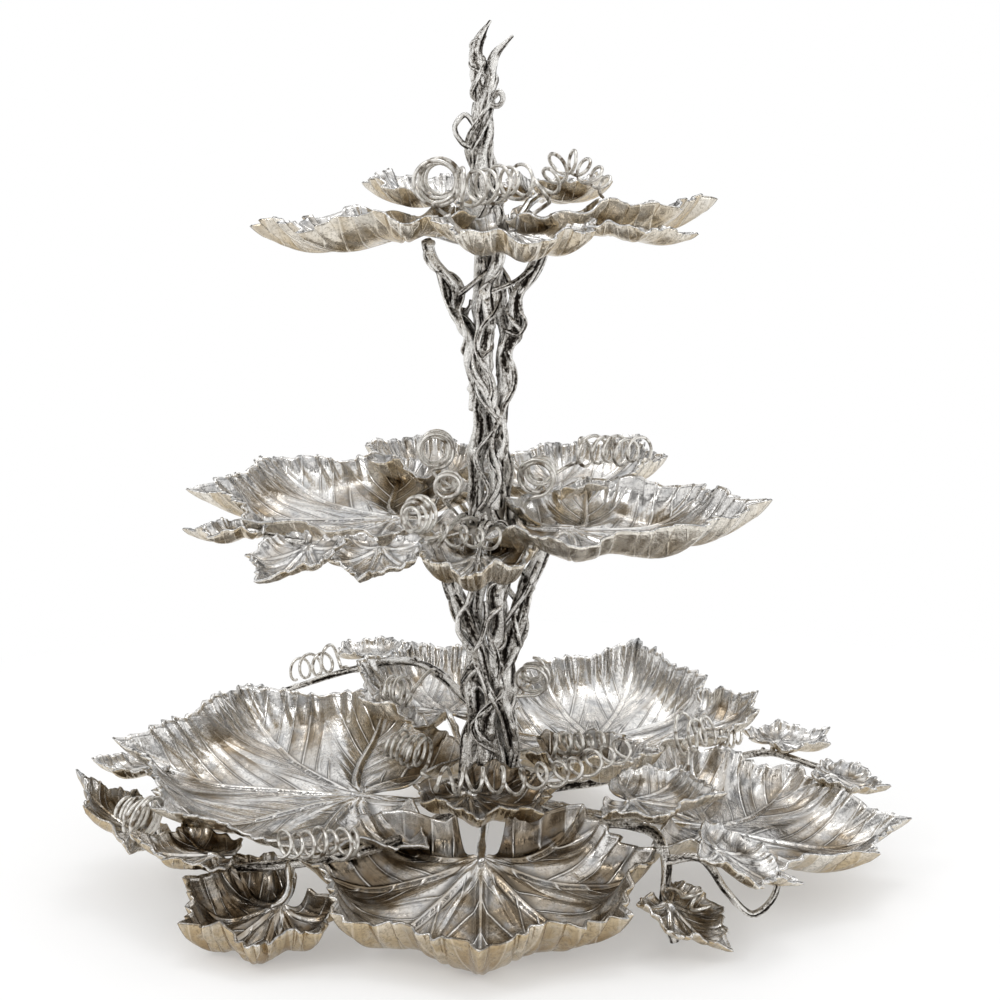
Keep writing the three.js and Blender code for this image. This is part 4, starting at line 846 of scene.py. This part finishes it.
for tier, plate in tiers.items():
    radius, bore, top = plate["plate"], plate["bore"], plate["height"]
    bottom = top - plateThickness
    bm = bmesh.new()
    spinProfile(bm, [(bore, bottom), (radius - 1, bottom), (radius, top - 1.5), (radius - 1.5, top),
                     (bore, top), (bore, bottom)])
    addPiece(f"{tier}_plate_turned", bm, materials["turned"], plate["body"],
             [f"{tier}_plate"])
rootletsRound = 16
for number, (tier, plate) in enumerate(tiers.items()):
    # Rootlets that run out over the plate's rim
    radius = plate["plate"]
    draw = np.random.default_rng(seeds["plate"] + number)
    bm = bmesh.new()
    for strand in range(rootletsRound):
        start = 360 / rootletsRound * strand + draw.uniform(-6, 6)
        thick = draw.uniform(1.5, 2.3)
        path = [(plate["rootlets"], thick * 0.8), (radius * 0.97, thick * 0.9), (radius + 2.6, -0.6),
                (radius + 3.6, -3.4)]
        turn = (start + np.array([0, 5, 9, 12]) * draw.uniform(-1.2, 1.2)) * degree
        line = [(r * math.cos(t), r * math.sin(t), plate["height"] + z) for (r, z), t in zip(path, turn)]
        grow(bm, "rootlet", curveThrough(line, strands["rootlet"]["step"]), lambda s: thick * (1.1 - 0.4 * s),
             seeds["rootlet"] + strand)
    addPiece(f"{tier}_plate_rootlets", bm, materials["bark"], plate["body"])
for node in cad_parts.values():
    if node.name == "base_nut":
        node.data.materials.clear()
        node.data.materials.append(materials["turned"])
print("stems made")


# Lobes and the bays between them: degrees from the midrib, and reach in shares of the leaf's length
leafKinds = {
    "grown": {"lobes": [(0, 1), (42, 0.93), (84, 0.82), (126, 0.58)],
              "bays": [(22, 0.88), (63, 0.8), (106, 0.62), (151, 0.25)]},
    "young": {"lobes": [(0, 1), (54, 0.86), (108, 0.62)], "bays": [(28, 0.8), (82, 0.66), (150, 0.26)]},
}
blade = {
    "thick": 1.5,           # mm of sheet
    "byVein": 1.35,         # powers that crowd the grid's columns to the main vein,
    "byRim": 0.85,          # and its rows to the rim
    "lobePoint": 1.5,       # how fast the outline draws in beside a lobe's point
    "teethFrom": 0.6,       # share of the way out from which the teeth stand out
    "smallTeeth": 0.28,     # the small teeth's reach in shares of the large ones
    "tipWidth": 3.2,        # degrees over which a lobe's tip is drawn out
    "sideTips": 0.75,       # how much of that the side lobes have
    "veinSlant": 38,        # degrees between a side vein and its main vein
    "veinSwing": 0.0035,    # how much the side veins swing forward
    "bowlPeak": 0.5824,     # the most that share - share ** 6 comes to, where the bowl is deepest
    "ribWidth": (0.55, 1.2),    # mm of a main vein's half width at its tip, and what its root has more
    "rib": 1.7,             # mm that a main vein stands up
    "gutter": 0.6,          # mm that the gutters beside it sink
    "unevenness": 0.8,      # mm of slow unevenness over the whole blade
}


def halfLobes(kind):
    # Each lobe's two halves, from its vein out to the bay beside it
    lobes, bays = kind["lobes"], kind["bays"]
    for sign in (1, -1):
        for i, lobe in enumerate(lobes):
            yield sign, lobe, bays[i]
            if i:
                yield sign, lobe, bays[i - 1]


def perPanel(panel, seed):
    # The same random share for everything in one panel between two side veins
    return np.abs(np.modf(np.sin((panel + 31) * 12.9898 + seed * 78.233) * 43758.5453)[0])


def halfLobe(leaf, sign, lobe, bay, seed):
    columns, rows = leaf["grid"]
    length, size = leaf["length"], leaf["relief"]
    spread = leaf["spread"][0] if sign > 0 else leaf["spread"][1]
    away = (np.linspace(0, 1, columns + 1) ** blade["byVein"])[None, :]
    angle = sign * (lobe[0] + (bay[0] - lobe[0]) * away)
    share = (np.linspace(0, 1, rows + 1) ** blade["byRim"])[:, None]
    aside = np.abs(np.abs(angle) - lobe[0]) * degree
    edge = bay[1] + (lobe[1] - bay[1]) * (1 - away) ** blade["lobePoint"]
    spacing, slant = leaf["veinSpacing"], math.tan(blade["veinSlant"] * degree)
    step = spacing * math.sin(math.atan(slant))
    number = seed * 3.7 + sign * lobe[0] * 0.11 + (0.5 if bay[0] > lobe[0] else 0)

    def sideVeins(reach):
        # Counts the side veins from the joint outwards. They leave the main vein at a slant and swing forward
        run, off = reach * np.cos(aside), reach * np.sin(aside)
        plain = (run - off / slant - blade["veinSwing"] * off ** 2) / spacing + number
        return run, off, plain + 0.10 * np.sin(2.3 * plain + seed * 9)

    # The outline: a tooth at each side vein, small teeth between them, and a drawn-out point on each lobe
    _, _, edgeCount = sideVeins(edge * length)
    whole = np.rint(edgeCount)
    between = 2 * np.abs(edgeCount - whole)
    inner = smoothStep(away, 0.0, 0.12) * smoothStep(1 - away, 0.0, 0.15)
    teeth = ((1 - between) ** 1.3 - 0.4) * (0.45 + 0.9 * perPanel(whole, number)) * inner
    small = (np.abs(np.sin(math.pi * 1.5 * edgeCount)) - 0.6) * blade["smallTeeth"] * inner
    drawn = leaf["point"] * np.exp(-aside / (blade["tipWidth"] * degree))
    drawn = drawn * (1 if lobe[0] == 0 else blade["sideTips"])
    depth = leaf["tooth"] / length
    outline = edge * (1 + (depth * (teeth + small) + drawn) * smoothStep(share, blade["teethFrom"], 1) ** 1.5)
    reach = share * outline * length
    run, off, count = sideVeins(reach)
    gone = np.clip(run / (lobe[1] * length), 0, 1)

    # The bowl of the blade, as the solid has it
    rad = angle * (1 - leaf["sweep"] * (1 - share) ** 2) * degree
    tip, side, stalk = leaf["rise"]
    rise = (tip * np.maximum(0, np.cos(rad)) ** 2 + side * np.sin(rad) ** 2
            + stalk * np.maximum(0, -np.cos(rad)) ** 2)
    dip = leaf["dip"] * (0.62 + 0.38 * np.cos(rad))
    offVein = np.sin(np.pi / 2 * away) ** 2
    bowl = (share - share ** 6) / blade["bowlPeak"]
    z = rise * share ** 2 - dip * bowl + leaf["puff"] * offVein * share * (1.25 - share) * 2.6

    # Relief chased into it: main veins between gutters, and panels that swell between the side veins
    tipWidth, added = blade["ribWidth"]
    width = (tipWidth + added * (1 - gone)) * size ** 0.5
    ridge = np.exp(-(off / width) ** 2)
    gutter = np.exp(-((off - 2.4 * width) / (1.1 * width)) ** 2)
    fade = smoothStep(share, 0.03, 0.22)
    toBay = 1 - smoothStep(away, 0.80, 1.0)
    panel = np.floor(count)
    within = count - panel
    swell = np.sin(np.pi * within ** 0.8) ** 2 * (0.45 + 0.9 * perPanel(panel, number))
    swell = swell * smoothStep(off, 0.15 * spacing, 0.9 * spacing) * toBay * (1 - share ** 4)
    z = z + size * fade * (blade["rib"] * ridge * (1 - gone) ** 0.3 - blade["gutter"] * gutter * (1 - gone)
                           + leaf["quilt"] * swell)
    curl = np.sin(angle * 0.105 + seed * 5) + 0.8 * np.sin(angle * 0.29 + seed * 11) + 0.12 * teeth
    z = z + leaf["wave"] * curl * share ** 5
    x = reach * np.cos(rad)
    y = reach * np.sin(rad) * spread
    z = z + blade["unevenness"] * size * np.sin(x * 0.11 + seed) * np.sin(y * 0.13 + 2 * seed) * share

    # What the material reads: where black stays, where tarnish gathers, and what is polished bright
    dark = np.clip(0.85 * gutter * (1 - 0.6 * gone) + 0.25 * (1 - toBay) * share, 0, 1) * fade
    polished = smoothStep(share, 0.72, 0.98)
    hollow = 0.20 * np.clip(bowl, 0, 1) + 0.30 * (1 - swell) * smoothStep(share, 0.3, 0.8) - 0.25 * polished
    hollow = np.clip(hollow, -0.5, 1)
    rib = fade * smoothStep(off, 0.2, 2.0) * (1 - smoothStep(away, 0.72, 0.95)) * (1 - 0.8 * share ** 3)
    marks = {"gutter": dark, "hollow": hollow, "rib": rib, "crest": ridge * (1 - gone ** 4), "rim": share ** 2}
    maps = {"chase": (count * step * mm, (off + run * 0.3) * mm), "veins": (count, share)}
    return np.stack(np.broadcast_arrays(x, y, z), axis=-1), maps, marks


def meetAtSeams(strips, ends):
    # Neighbouring strips take the same places along the vein or the bay they share
    lines = {}
    for (places, _, _), (sign, lobe, bay) in zip(strips, ends):
        lines.setdefault(("vein", sign * lobe[0]), []).append((places, 0))
        lines.setdefault(("bay", sign * bay[0]), []).append((places, -1))
    for shared in lines.values():
        middle = np.mean([places[:, column] for places, column in shared], axis=0)
        for places, column in shared:
            places[:, column] = middle


def leafMatrix(leaf):
    x, y, z = leaf["joint"]
    turn = (Matrix.Rotation(leaf["heading"] * degree, 4, "Z")
            @ Matrix.Rotation(-leaf["pitch"] * degree, 4, "Y")
            @ Matrix.Rotation(leaf["bank"] * degree, 4, "X"))
    return Matrix.Translation((x, y, z + tiers[leaf["tier"]]["height"])) @ turn


def makeLeaf(name, leaf, seed):
    tier = tiers[leaf["tier"]]
    matrix = leafMatrix(leaf)
    spin = np.array(matrix.to_3x3()).T
    ends = list(halfLobes(leafKinds[leaf["kind"]]))
    strips = [halfLobe(leaf, sign, lobe, bay, seed) for sign, lobe, bay in ends]
    meetAtSeams(strips, ends)
    strips = [(places @ spin + np.array(matrix.translation), maps, marks) for places, maps, marks in strips]
    lowest = min(places[..., 2].min() for places, _, _ in strips)
    lift = blade["thick"] / 2 - lowest if leaf["stands"] else 0
    bm = bmesh.new()
    for places, maps, marks in strips:
        # Painted shade: close to the stem the leaves are darkened into their tarnish tones by the tier's
        # shade, and each leaf's tone shift is added too
        near = 1 - smoothStep(np.hypot(places[..., 0], places[..., 1]), 30, 100)
        marks["hollow"] = marks["hollow"] + tier["shade"] * near + leaf["toneShift"]
        addSheet(bm, places + (0, 0, lift), maps, marks)
    closeUp(bm)
    mesh = meshOf(bm)
    sheet = placeObject("sheet", mesh)
    thicken = sheet.modifiers.new("sheet", "SOLIDIFY")
    thicken.thickness = blade["thick"] * mm
    thicken.offset = 0
    bpy.context.view_layer.update()
    solid = bpy.data.meshes.new_from_object(sheet.evaluated_get(bpy.context.evaluated_depsgraph_get()))
    bpy.data.objects.remove(sheet)
    bpy.data.meshes.remove(mesh)
    bm = bmesh.new()
    moveInto(bm, solid)
    for face in bm.faces:
        face.material_index = 1 if face.normal.z < -0.05 else 0     # the underside has its own finish, its tones painted lighter against its shade

    # The stalk that holds the blade, thickening where it is soldered on
    joint = np.array(matrix.translation) + (0, 0, lift)
    midrib = np.array((matrix.to_3x3() @ Vector((1, 0, 0))))
    towards = math.atan2(joint[1], joint[0]) / degree
    root = nearestOn(leaf["twig"], joint) if leaf["twig"] else atPlate(leaf["tier"], towards)
    distance = float(np.linalg.norm(joint - root))
    leaving = root + (joint - root) * 0.4
    leaving[2] = root[2] + (joint[2] - root[2]) * 0.2
    r = leaf["stalkRadius"]
    arriving = joint - midrib * distance * 0.35
    line = bezier(root, leaving, arriving, joint + midrib * r * 2.2, strands["leafStalk"]["step"])
    grow(bm, "leafStalk", line, lambda s: r * (
        1.12 - 0.18 * math.sin(math.pi * s) - 0.35 * max(0, s - 0.85) / 0.15), int(seed * 100))
    replaced = [name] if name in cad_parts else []
    piece = addPiece(name + "_chased", bm, materials["leaf"], tier["body"], replaced)
    piece.data.materials.append(materials["underside"])


# Vein spacing, teeth, quilt, wave and stalk radius are in mm, the drawn point and the sweep are shares
sizes = {
    "large": {"kind": "grown", "grid": (28, 52), "veinSpacing": 17, "tooth": 6.0, "point": 0.09, "relief": 1.0,
              "sweep": 0.3, "quilt": 0.45, "wave": 2.4, "stalkRadius": 2.6},
    "medium": {"kind": "grown", "grid": (22, 38), "veinSpacing": 12, "tooth": 4.8, "point": 0.10,
               "relief": 0.85, "sweep": 0.3, "quilt": 0.4, "wave": 1.8, "stalkRadius": 2.6},
    "small": {"kind": "young", "grid": (16, 24), "veinSpacing": 9, "tooth": 3.6, "point": 0.12, "relief": 0.6,
              "sweep": 0.2, "quilt": 0.4, "wave": 1.3, "stalkRadius": 1.8,
              "spread": (0.9, 0.9), "rise": (1, 4, 2), "dip": 6, "puff": 1.5},
}
# Spread is each half's width against its length. Rise is how high tip, sides and stalk end stand over the
# joint, dip how deep the bowl is and puff how far the panels swell, all in mm. A small leaf may leave them out
leafFields = ("joint", "heading", "pitch", "bank", "length", "twig", "spread", "rise", "dip", "puff")
leaves = {
    "base_leaf_front": ("large", (-5, -104, -9), -90, -9, 0, 101, None, (1.2, 1.2), (2, 8, 14), 30, 4),
    "base_leaf_back": ("large", (10, 106, -9), 96, -9, 0, 98, None, (1.05, 1.05), (2, 6, 10), 26, 3),
    "base_leaf_left": ("large", (-79, -36, 8), 170, 9, -14, 150, None, (0.7, 0.84), (8, 12, 10), 18, 4),
    "base_leaf_right": ("large", (128, -68, -1), 15, -5, 11, 126, None, (0.86, 0.56), (4, 8, 12), 17, 4),
    "base_leaf_back_right": ("large", (66, 44, 18), 70, 15, 0, 112, None, (0.84, 0.8), (14, 16, 10), 17, 4),
    "base_leaf_back_left": ("medium", (-28, 54, 35), 110, 10, 0, 88, None, (0.78, 0.8), (14, 14, 6), 14, 3),
    "base_leaf_front_left": ("medium", (-118, -128, -12), -146, -4, -8, 58, "front_left",
                             (1.1, 1), (8, 10, 6), 19, 3),
    "base_leaf_centre_right": ("medium", (47, -9, 22), -13, 2, 4, 56, None, (0.5, 0.72), (8, 12, 6), 12, 3),
    "base_leaf_front_centre": ("medium", (-14, -46, 13), -42, -4, 0, 56, None, (0.95, 0.95), (6, 8, 4), 10, 3),
    "base_leaf_far_right": ("medium", (128, 62, 18), 24, 20, 0, 58, "right", (0.9, 0.9), (4, 8, 4), 8, 3),
    "base_small_far_left": ("small", (-214, -56, -10), 158, 40, 12, 50, "front_left"),
    "base_small_left_edge": ("small", (-210, -8, 18), 176, 4, 0, 38, "front_left"),
    "base_small_upper_left": ("small", (-158, 102, 32), 205, -8, 0, 38, "back_left"),
    "base_small_twig": ("small", (-86, 130, 56), 70, 6, 0, 38, "back_left"),
    "base_small_under_left": ("small", (-158, -110, -4), 178, 12, 0, 46, "front_left"),
    "base_small_right_front": ("small", (128, -134, 8), -8, -20, 0, 46, "right_front", (1, 1)),
    "base_small_right_low": ("small", (100, -143, -20), -34, -22, 0, 40, "right_front"),
    "base_small_far_right": ("small", (218, 12, 6), -24, -6, 0, 35, "right"),
    "base_small_upper_right": ("small", (190, 58, 14), 30, 4, 0, 42, "right"),
    "middle_leaf_left": ("large", (-54, -8, 3), 178, 6, -13, 124, None, (0.58, 0.72), (8, 12, 8), 14, 3),
    "middle_leaf_front_right": ("large", (44, -36, 1), -9, 5, 10, 115, None, (0.58, 0.6), (8, 12, 8), 17, 3),
    "middle_leaf_back_right": ("medium", (40, 44, 12), 48, 10, 0, 86, None, (0.8, 0.8), (12, 12, 8), 12, 3),
    "middle_leaf_back_left": ("medium", (-32, 56, 19), 112, 6, 0, 70, None, (0.75, 0.75), (12, 12, 6), 10, 3),
    "middle_leaf_front": ("medium", (-6, -62, -11), -95, -8, 0, 52, None, (0.8, 0.8), (8, 8, 6), 12, 3),
    "middle_small_front_left": ("small", (-62, -90, -1), -104, -14, 0, 40, "middle"),
    "middle_small_left": ("small", (-104, -86, -1), -126, -16, 0, 42, "middle"),
    "middle_small_far_left": ("small", (-140, -56, 3), 174, 0, 0, 38, "middle"),
    "top_leaf_left": ("large", (-42, -6, 3), 180, -2, -3, 94, None, (0.66, 0.66), (6, 10, 6), 13, 3),
    "top_leaf_right": ("large", (40, 8, 4), 8, 6, 0, 94, None, (0.62, 0.62), (6, 10, 6), 12, 3),
    "top_leaf_front": ("medium", (12, -42, 1), -78, -6, 0, 64, None, (0.9, 0.9), (4, 8, 5), 12, 3),
    "top_leaf_back_left": ("medium", (-26, 44, 19), 122, 10, 0, 70, None, (0.75, 0.75), (8, 10, 6), 9, 3),
    "top_leaf_back_right": ("medium", (30, 50, 24), 56, 3, 0, 58, None, (0.75, 0.75), (8, 10, 6), 9, 3),
    "top_small_right_front": ("small", (70, -46, 2), -14, -2, 0, 46, None),
    "base_small_near_right": ("small", (82, -84, 21), -12, 8, 6, 52, "right_front",
                              (0.95, 0.95), (3, 6, 4), 8, 2),
}
toneShift = {        # how much further than the rest a leaf goes into the warm and deep tones, or below zero how much less
    "base_leaf_front": 0.33, "base_leaf_front_left": 0.42, "base_leaf_front_centre": 0.3,
    "base_leaf_left": -0.05, "base_leaf_right": 0.08, "base_leaf_back_right": -0.32,
    "base_leaf_far_right": -0.1, "base_small_far_left": 0.3, "base_small_under_left": 0.34,
    "base_small_right_low": 0.3,
    "middle_leaf_front_right": -0.14, "middle_leaf_back_right": -0.1, "top_leaf_left": -0.05}
boldness = {    # leaves whose panels are raised more or less than the rest
    "base_leaf_front": {"relief": 1.5, "quilt": 0.8}, "base_leaf_left": {"relief": 1.2, "quilt": 0.55},
    "base_leaf_front_left": {"relief": 1.2, "quilt": 0.7}, "base_leaf_back_right": {"quilt": 0.28},
    "base_leaf_right": {"quilt": 0.35}, "middle_leaf_left": {"quilt": 0.35}}
standing = ("base_leaf_front", "base_leaf_back", "base_leaf_front_left")        # the table carries these
for number, (name, (size, *values)) in enumerate(leaves.items()):
    leaf = {**sizes[size], **dict(zip(leafFields, values)), **boldness.get(name, {}),
            "tier": name.split("_")[0], "stands": name in standing, "toneShift": toneShift.get(name, 0)}
    makeLeaf(name, leaf, 0.37 * number + 0.2)
print("leaves made:", len(leaves))


# Where the wire is rooted, which is a twig, a point or an angle round the plate, then the points of the coil's
# axis, its first and last radius, its turns and how far its rings lean
tendrils = {
    "base_tendril_left": ("front_left", [(-200, -88, 10), (-218, -80, 16)], (13, 6), 6),
    "base_tendril_twig": ("back_left", [(-106, 104, 62), (-136, 102, 52)], (8, 7), 4, -0.6),
    "base_tendril_back": ("back_left", [(-56, 36, 56), (-70, 44, 54)], (9, 6), 4),
    "base_tendril_centre": (215, [(-40, -34, 34), (-62, -24, 38)], (10, 8), 6),
    "base_tendril_front_left": ("front_left", [(-74, -120, 8), (-118, -136, 12)], (8, 7), 7, 0.45),
    "base_tendril_long": (240, [(-32, -88, 35), (28, -94, 38), (84, -60, 46)], (7.5, 6.5), 11, 0.5),
    "base_tendril_stem": ((6, 3, 54), [(26, 8, 68), (28, 28, 74)], (10, 6), 3.5),
    "base_tendril_right": ((122, -34, 2), [(120, -6, 38), (138, -14, 44)], (12, 8), 3),
    "middle_tendril_left": (108, [(-34, 14, 42), (-36, 32, 42)], (10, 9), 5),
    "middle_tendril_front": (227, [(-38, -76, 16), (-46, -88, 16)], (12, 7), 4),
    "middle_tendril_right": (8, [(28, -14, 28), (32, 6, 32)], (11, 8), 5),
    "middle_tendril_back": (30, [(54, 32, 40), (98, 36, 40)], (9, 8), 6, -0.9),
    "top_tendril_left": (158, [(-32, -14, 31), (-30, 11, 34)], (13, 10), 6),
    "top_tendril_front": (262, [(-18, -34, 27), (22, -34, 32)], (10.5, 9), 6, 0.8),
    "top_tendril_fan": (30, [(30, 6, 26), (48, 4, 44), (72, 2, 28)], (8, 6), 7, 0.7),
}
smallTendrils = {       # curls of the visual model alone
    "base_curl_centre_right": ((44, -9, 21), [(38, -22, 36), (72, -24, 40)], (6.5, 5), 5, 0.7),
    "base_curl_far_right": ("right", [(148, 34, 24), (164, 36, 24)], (6, 4), 3.5),
    "base_curl_low": ("right_front", [(112, -141, -12), (121, -143, -24)], (6, 4), 1.6),
    "middle_curl_stem": (205, [(-25, -29, 26), (-27, -15, 28)], (7.5, 5), 4.5),
    "middle_curl_front": (250, [(-30, -70, 3), (4, -73, 2)], (6.5, 5.5), 3.5, 0.8),
}
wire = {
    "start": 1.25, "end": 1.0,      # radii in mm
    "sides": 12,
    "stepsPerTurn": 36,
    "uneven": 0.12,                 # share by which the rings' size varies
    "stray": 1.2,                   # mm that the rings stray from the axis
    "leadStep": 1.4,                # mm
    "solderedAt": (2.5, 1.5),       # mm in from a plate's rim and below its top
}


def coilLine(tier, seed, root, axis, radius, turns, lean=0.0):
    # Rings wound by hand round a bent axis, a little uneven, then the lead that runs down to the root
    axisLine = splineThrough([inTier(tier, p) for p in axis], np.linspace(0, 1, 121))
    count = round(turns * wire["stepsPerTurn"])
    centre = evenly(axisLine, count)
    along = np.gradient(centre, axis=0)
    along /= np.linalg.norm(along, axis=1)[:, None]
    across = np.cross(along, (0, 0, 1))
    across /= np.linalg.norm(across, axis=1)[:, None]
    up = np.cross(across, along)
    s = np.linspace(0, 1, count + 1)
    turn = 2 * math.pi * turns * s - math.pi / 2
    reach = easedThrough(radius, s) * (1 + wire["uneven"] * np.sin(0.43 * turn + seed))
    sway = wire["stray"] * np.sin(0.31 * turn + 2 * seed) * np.sin(math.pi * s)
    lean = lean * smoothStep(s, 0, 0.2)
    winding = (centre + (reach * np.cos(turn) + sway)[:, None] * across
               + (reach * np.sin(turn) + sway)[:, None] * up + (lean * reach * np.cos(turn))[:, None] * along)
    start = winding[0]
    if isinstance(root, str):
        root = nearestOn(root, start)
    elif isinstance(root, tuple):
        root = inTier(tier, root)
    else:
        root = atPlate(tier, root, *wire["solderedAt"])
    distance = float(np.linalg.norm(root - start))
    back = start - winding[1]
    arriving = start + back / np.linalg.norm(back) * distance * 0.3
    leaving = root + (start - root) * 0.15
    leaving[2] = root[2] + distance * 0.35
    return np.concatenate([bezier(root, leaving, arriving, start, wire["leadStep"])[:-1], winding])


for number, (name, winding) in enumerate({**tendrils, **smallTendrils}.items()):
    tier = name.split("_")[0]
    bm = bmesh.new()
    taper = wire["end"] - wire["start"]
    tube(bm, coilLine(tier, number, *winding), lambda s: wire["start"] + taper * s, wire["sides"])
    addPiece(name + "_wire", bm, materials["wire"], tiers[tier]["body"],
             [name] if name in tendrils else ())
print("tendrils made:", len(tendrils) + len(smallTendrils))


studio = {
    "paper": "#F9F9F9",             # matt white paper under the object
    "backdropFrom": (0.20, 0.70),   # m from the middle between which the paper goes to the backdrop's white
    "backdropShare": (0.3, 1.0),    # how much of that white is in it there
    # What metal shows, from level at 0 to straight up at 1: the white sweep, a dark gap and the softbox
    "sweep": ((0.30, "#FFFFFF"), (0.43, "#45423F"), (0.54, "#45423F"), (0.62, "#DCDCDC"), (0.76, "#FFFFFF")),
    "aim": (0, 0, 0.2),
    "softboxes": {                  # place and size in m, and watts
        "key": ((-1.5, -1.3, 1.7), (0.7, 0.6), 6),
        "fill": ((1.7, -1.1, 1.0), (0.5, 0.8), 3),
        "top": ((0.2, 0.3, 1.9), (0.7, 0.7), 4),
    },
}
white = (1, 1, 1, 1)


def seenDirectly(tree):
    # 1 for what the camera sees, also by way of metal
    rays = addNode(tree, "LightPath")
    seen = rays.outputs["Is Camera Ray"]
    for kind in ("Is Glossy Ray", "Is Transmission Ray"):
        seen = addNode(tree, "Math", [seen, rays.outputs[kind]], operation="MAXIMUM")
    return seen


def makeFloor():
    # Away from the object the paper goes to the backdrop's white, so no edge or horizon shows
    bm = bmesh.new()
    bmesh.ops.create_circle(bm, cap_ends=True, segments=96, radius=8)
    floor = placeObject("floor", meshOf(bm, "floor"))
    floor.location.z = -0.0002
    material, tree = newMaterial("white_paper")
    place = addNode(tree, "TexCoord").outputs["Object"]
    far = addNode(tree, "VectorMath", [place], operation="LENGTH")
    paper = addNode(tree, "BsdfPrincipled", {"Base Color": colour(studio["paper"]), "Roughness": 0.9})
    backdrop = addNode(tree, "Emission", {"Color": white, "Strength": 1.0})
    fading = addNode(tree, "MapRange", [far, *studio["backdropFrom"], *studio["backdropShare"]])
    share = addNode(tree, "Math", [fading, seenDirectly(tree)], operation="MULTIPLY")
    addNode(tree, "OutputMaterial", {"Surface": addNode(tree, "MixShader", [share, paper, backdrop])})
    floor.data.materials.append(material)


def makeWorld():
    # A white studio with a dark gap between its sweep and the softbox overhead, which metal shows too
    world = bpy.data.worlds.new("studio")
    bpy.context.scene.world = world
    world.use_nodes = True
    tree = world.node_tree
    tree.nodes.clear()
    way = addNode(tree, "TexCoord").outputs["Generated"]
    height = addNode(tree, "SeparateXYZ", [way]).outputs["Z"]
    picture = addNode(tree, "ValToRGB", [height], stops=studio["sweep"])
    room = addNode(tree, "Background", {"Color": white, "Strength": 1.0})
    seen = addNode(tree, "Background", {"Color": picture, "Strength": 1.0})
    both = addNode(tree, "MixShader", [seenDirectly(tree), room, seen])
    addNode(tree, "OutputWorld", {"Surface": both})


def addSoftbox(name, place, size, watts):
    light = bpy.data.lights.new(name, "AREA")
    light.shape = "RECTANGLE"
    light.size, light.size_y = size
    light.energy = watts
    lamp = placeObject(name, light)
    lamp.location = place
    lamp.rotation_euler = (Vector(studio["aim"]) - Vector(place)).to_track_quat("-Z", "Y").to_euler()


makeFloor()
makeWorld()
for name, softbox in studio["softboxes"].items():
    addSoftbox(name, *softbox)

view = {
    "place": (0.006, -1.110, 0.405),    # m, from laying the tiers over the photograph
    "down": 8.8,                        # degrees below level
    "lens": 65.1, "sensor": 36,         # mm
    "reach": 50,                        # m
}
camera = placeObject("camera", bpy.data.cameras.new("camera"))
camera.data.sensor_width = view["sensor"]
camera.data.lens = view["lens"]
camera.data.clip_end = view["reach"]
camera.location = view["place"]
camera.rotation_euler = Euler((math.radians(90 - view["down"]), 0, 0))
bpy.context.scene.camera = camera
bpy.context.scene.view_settings.view_transform = "Standard"
print("stage set")
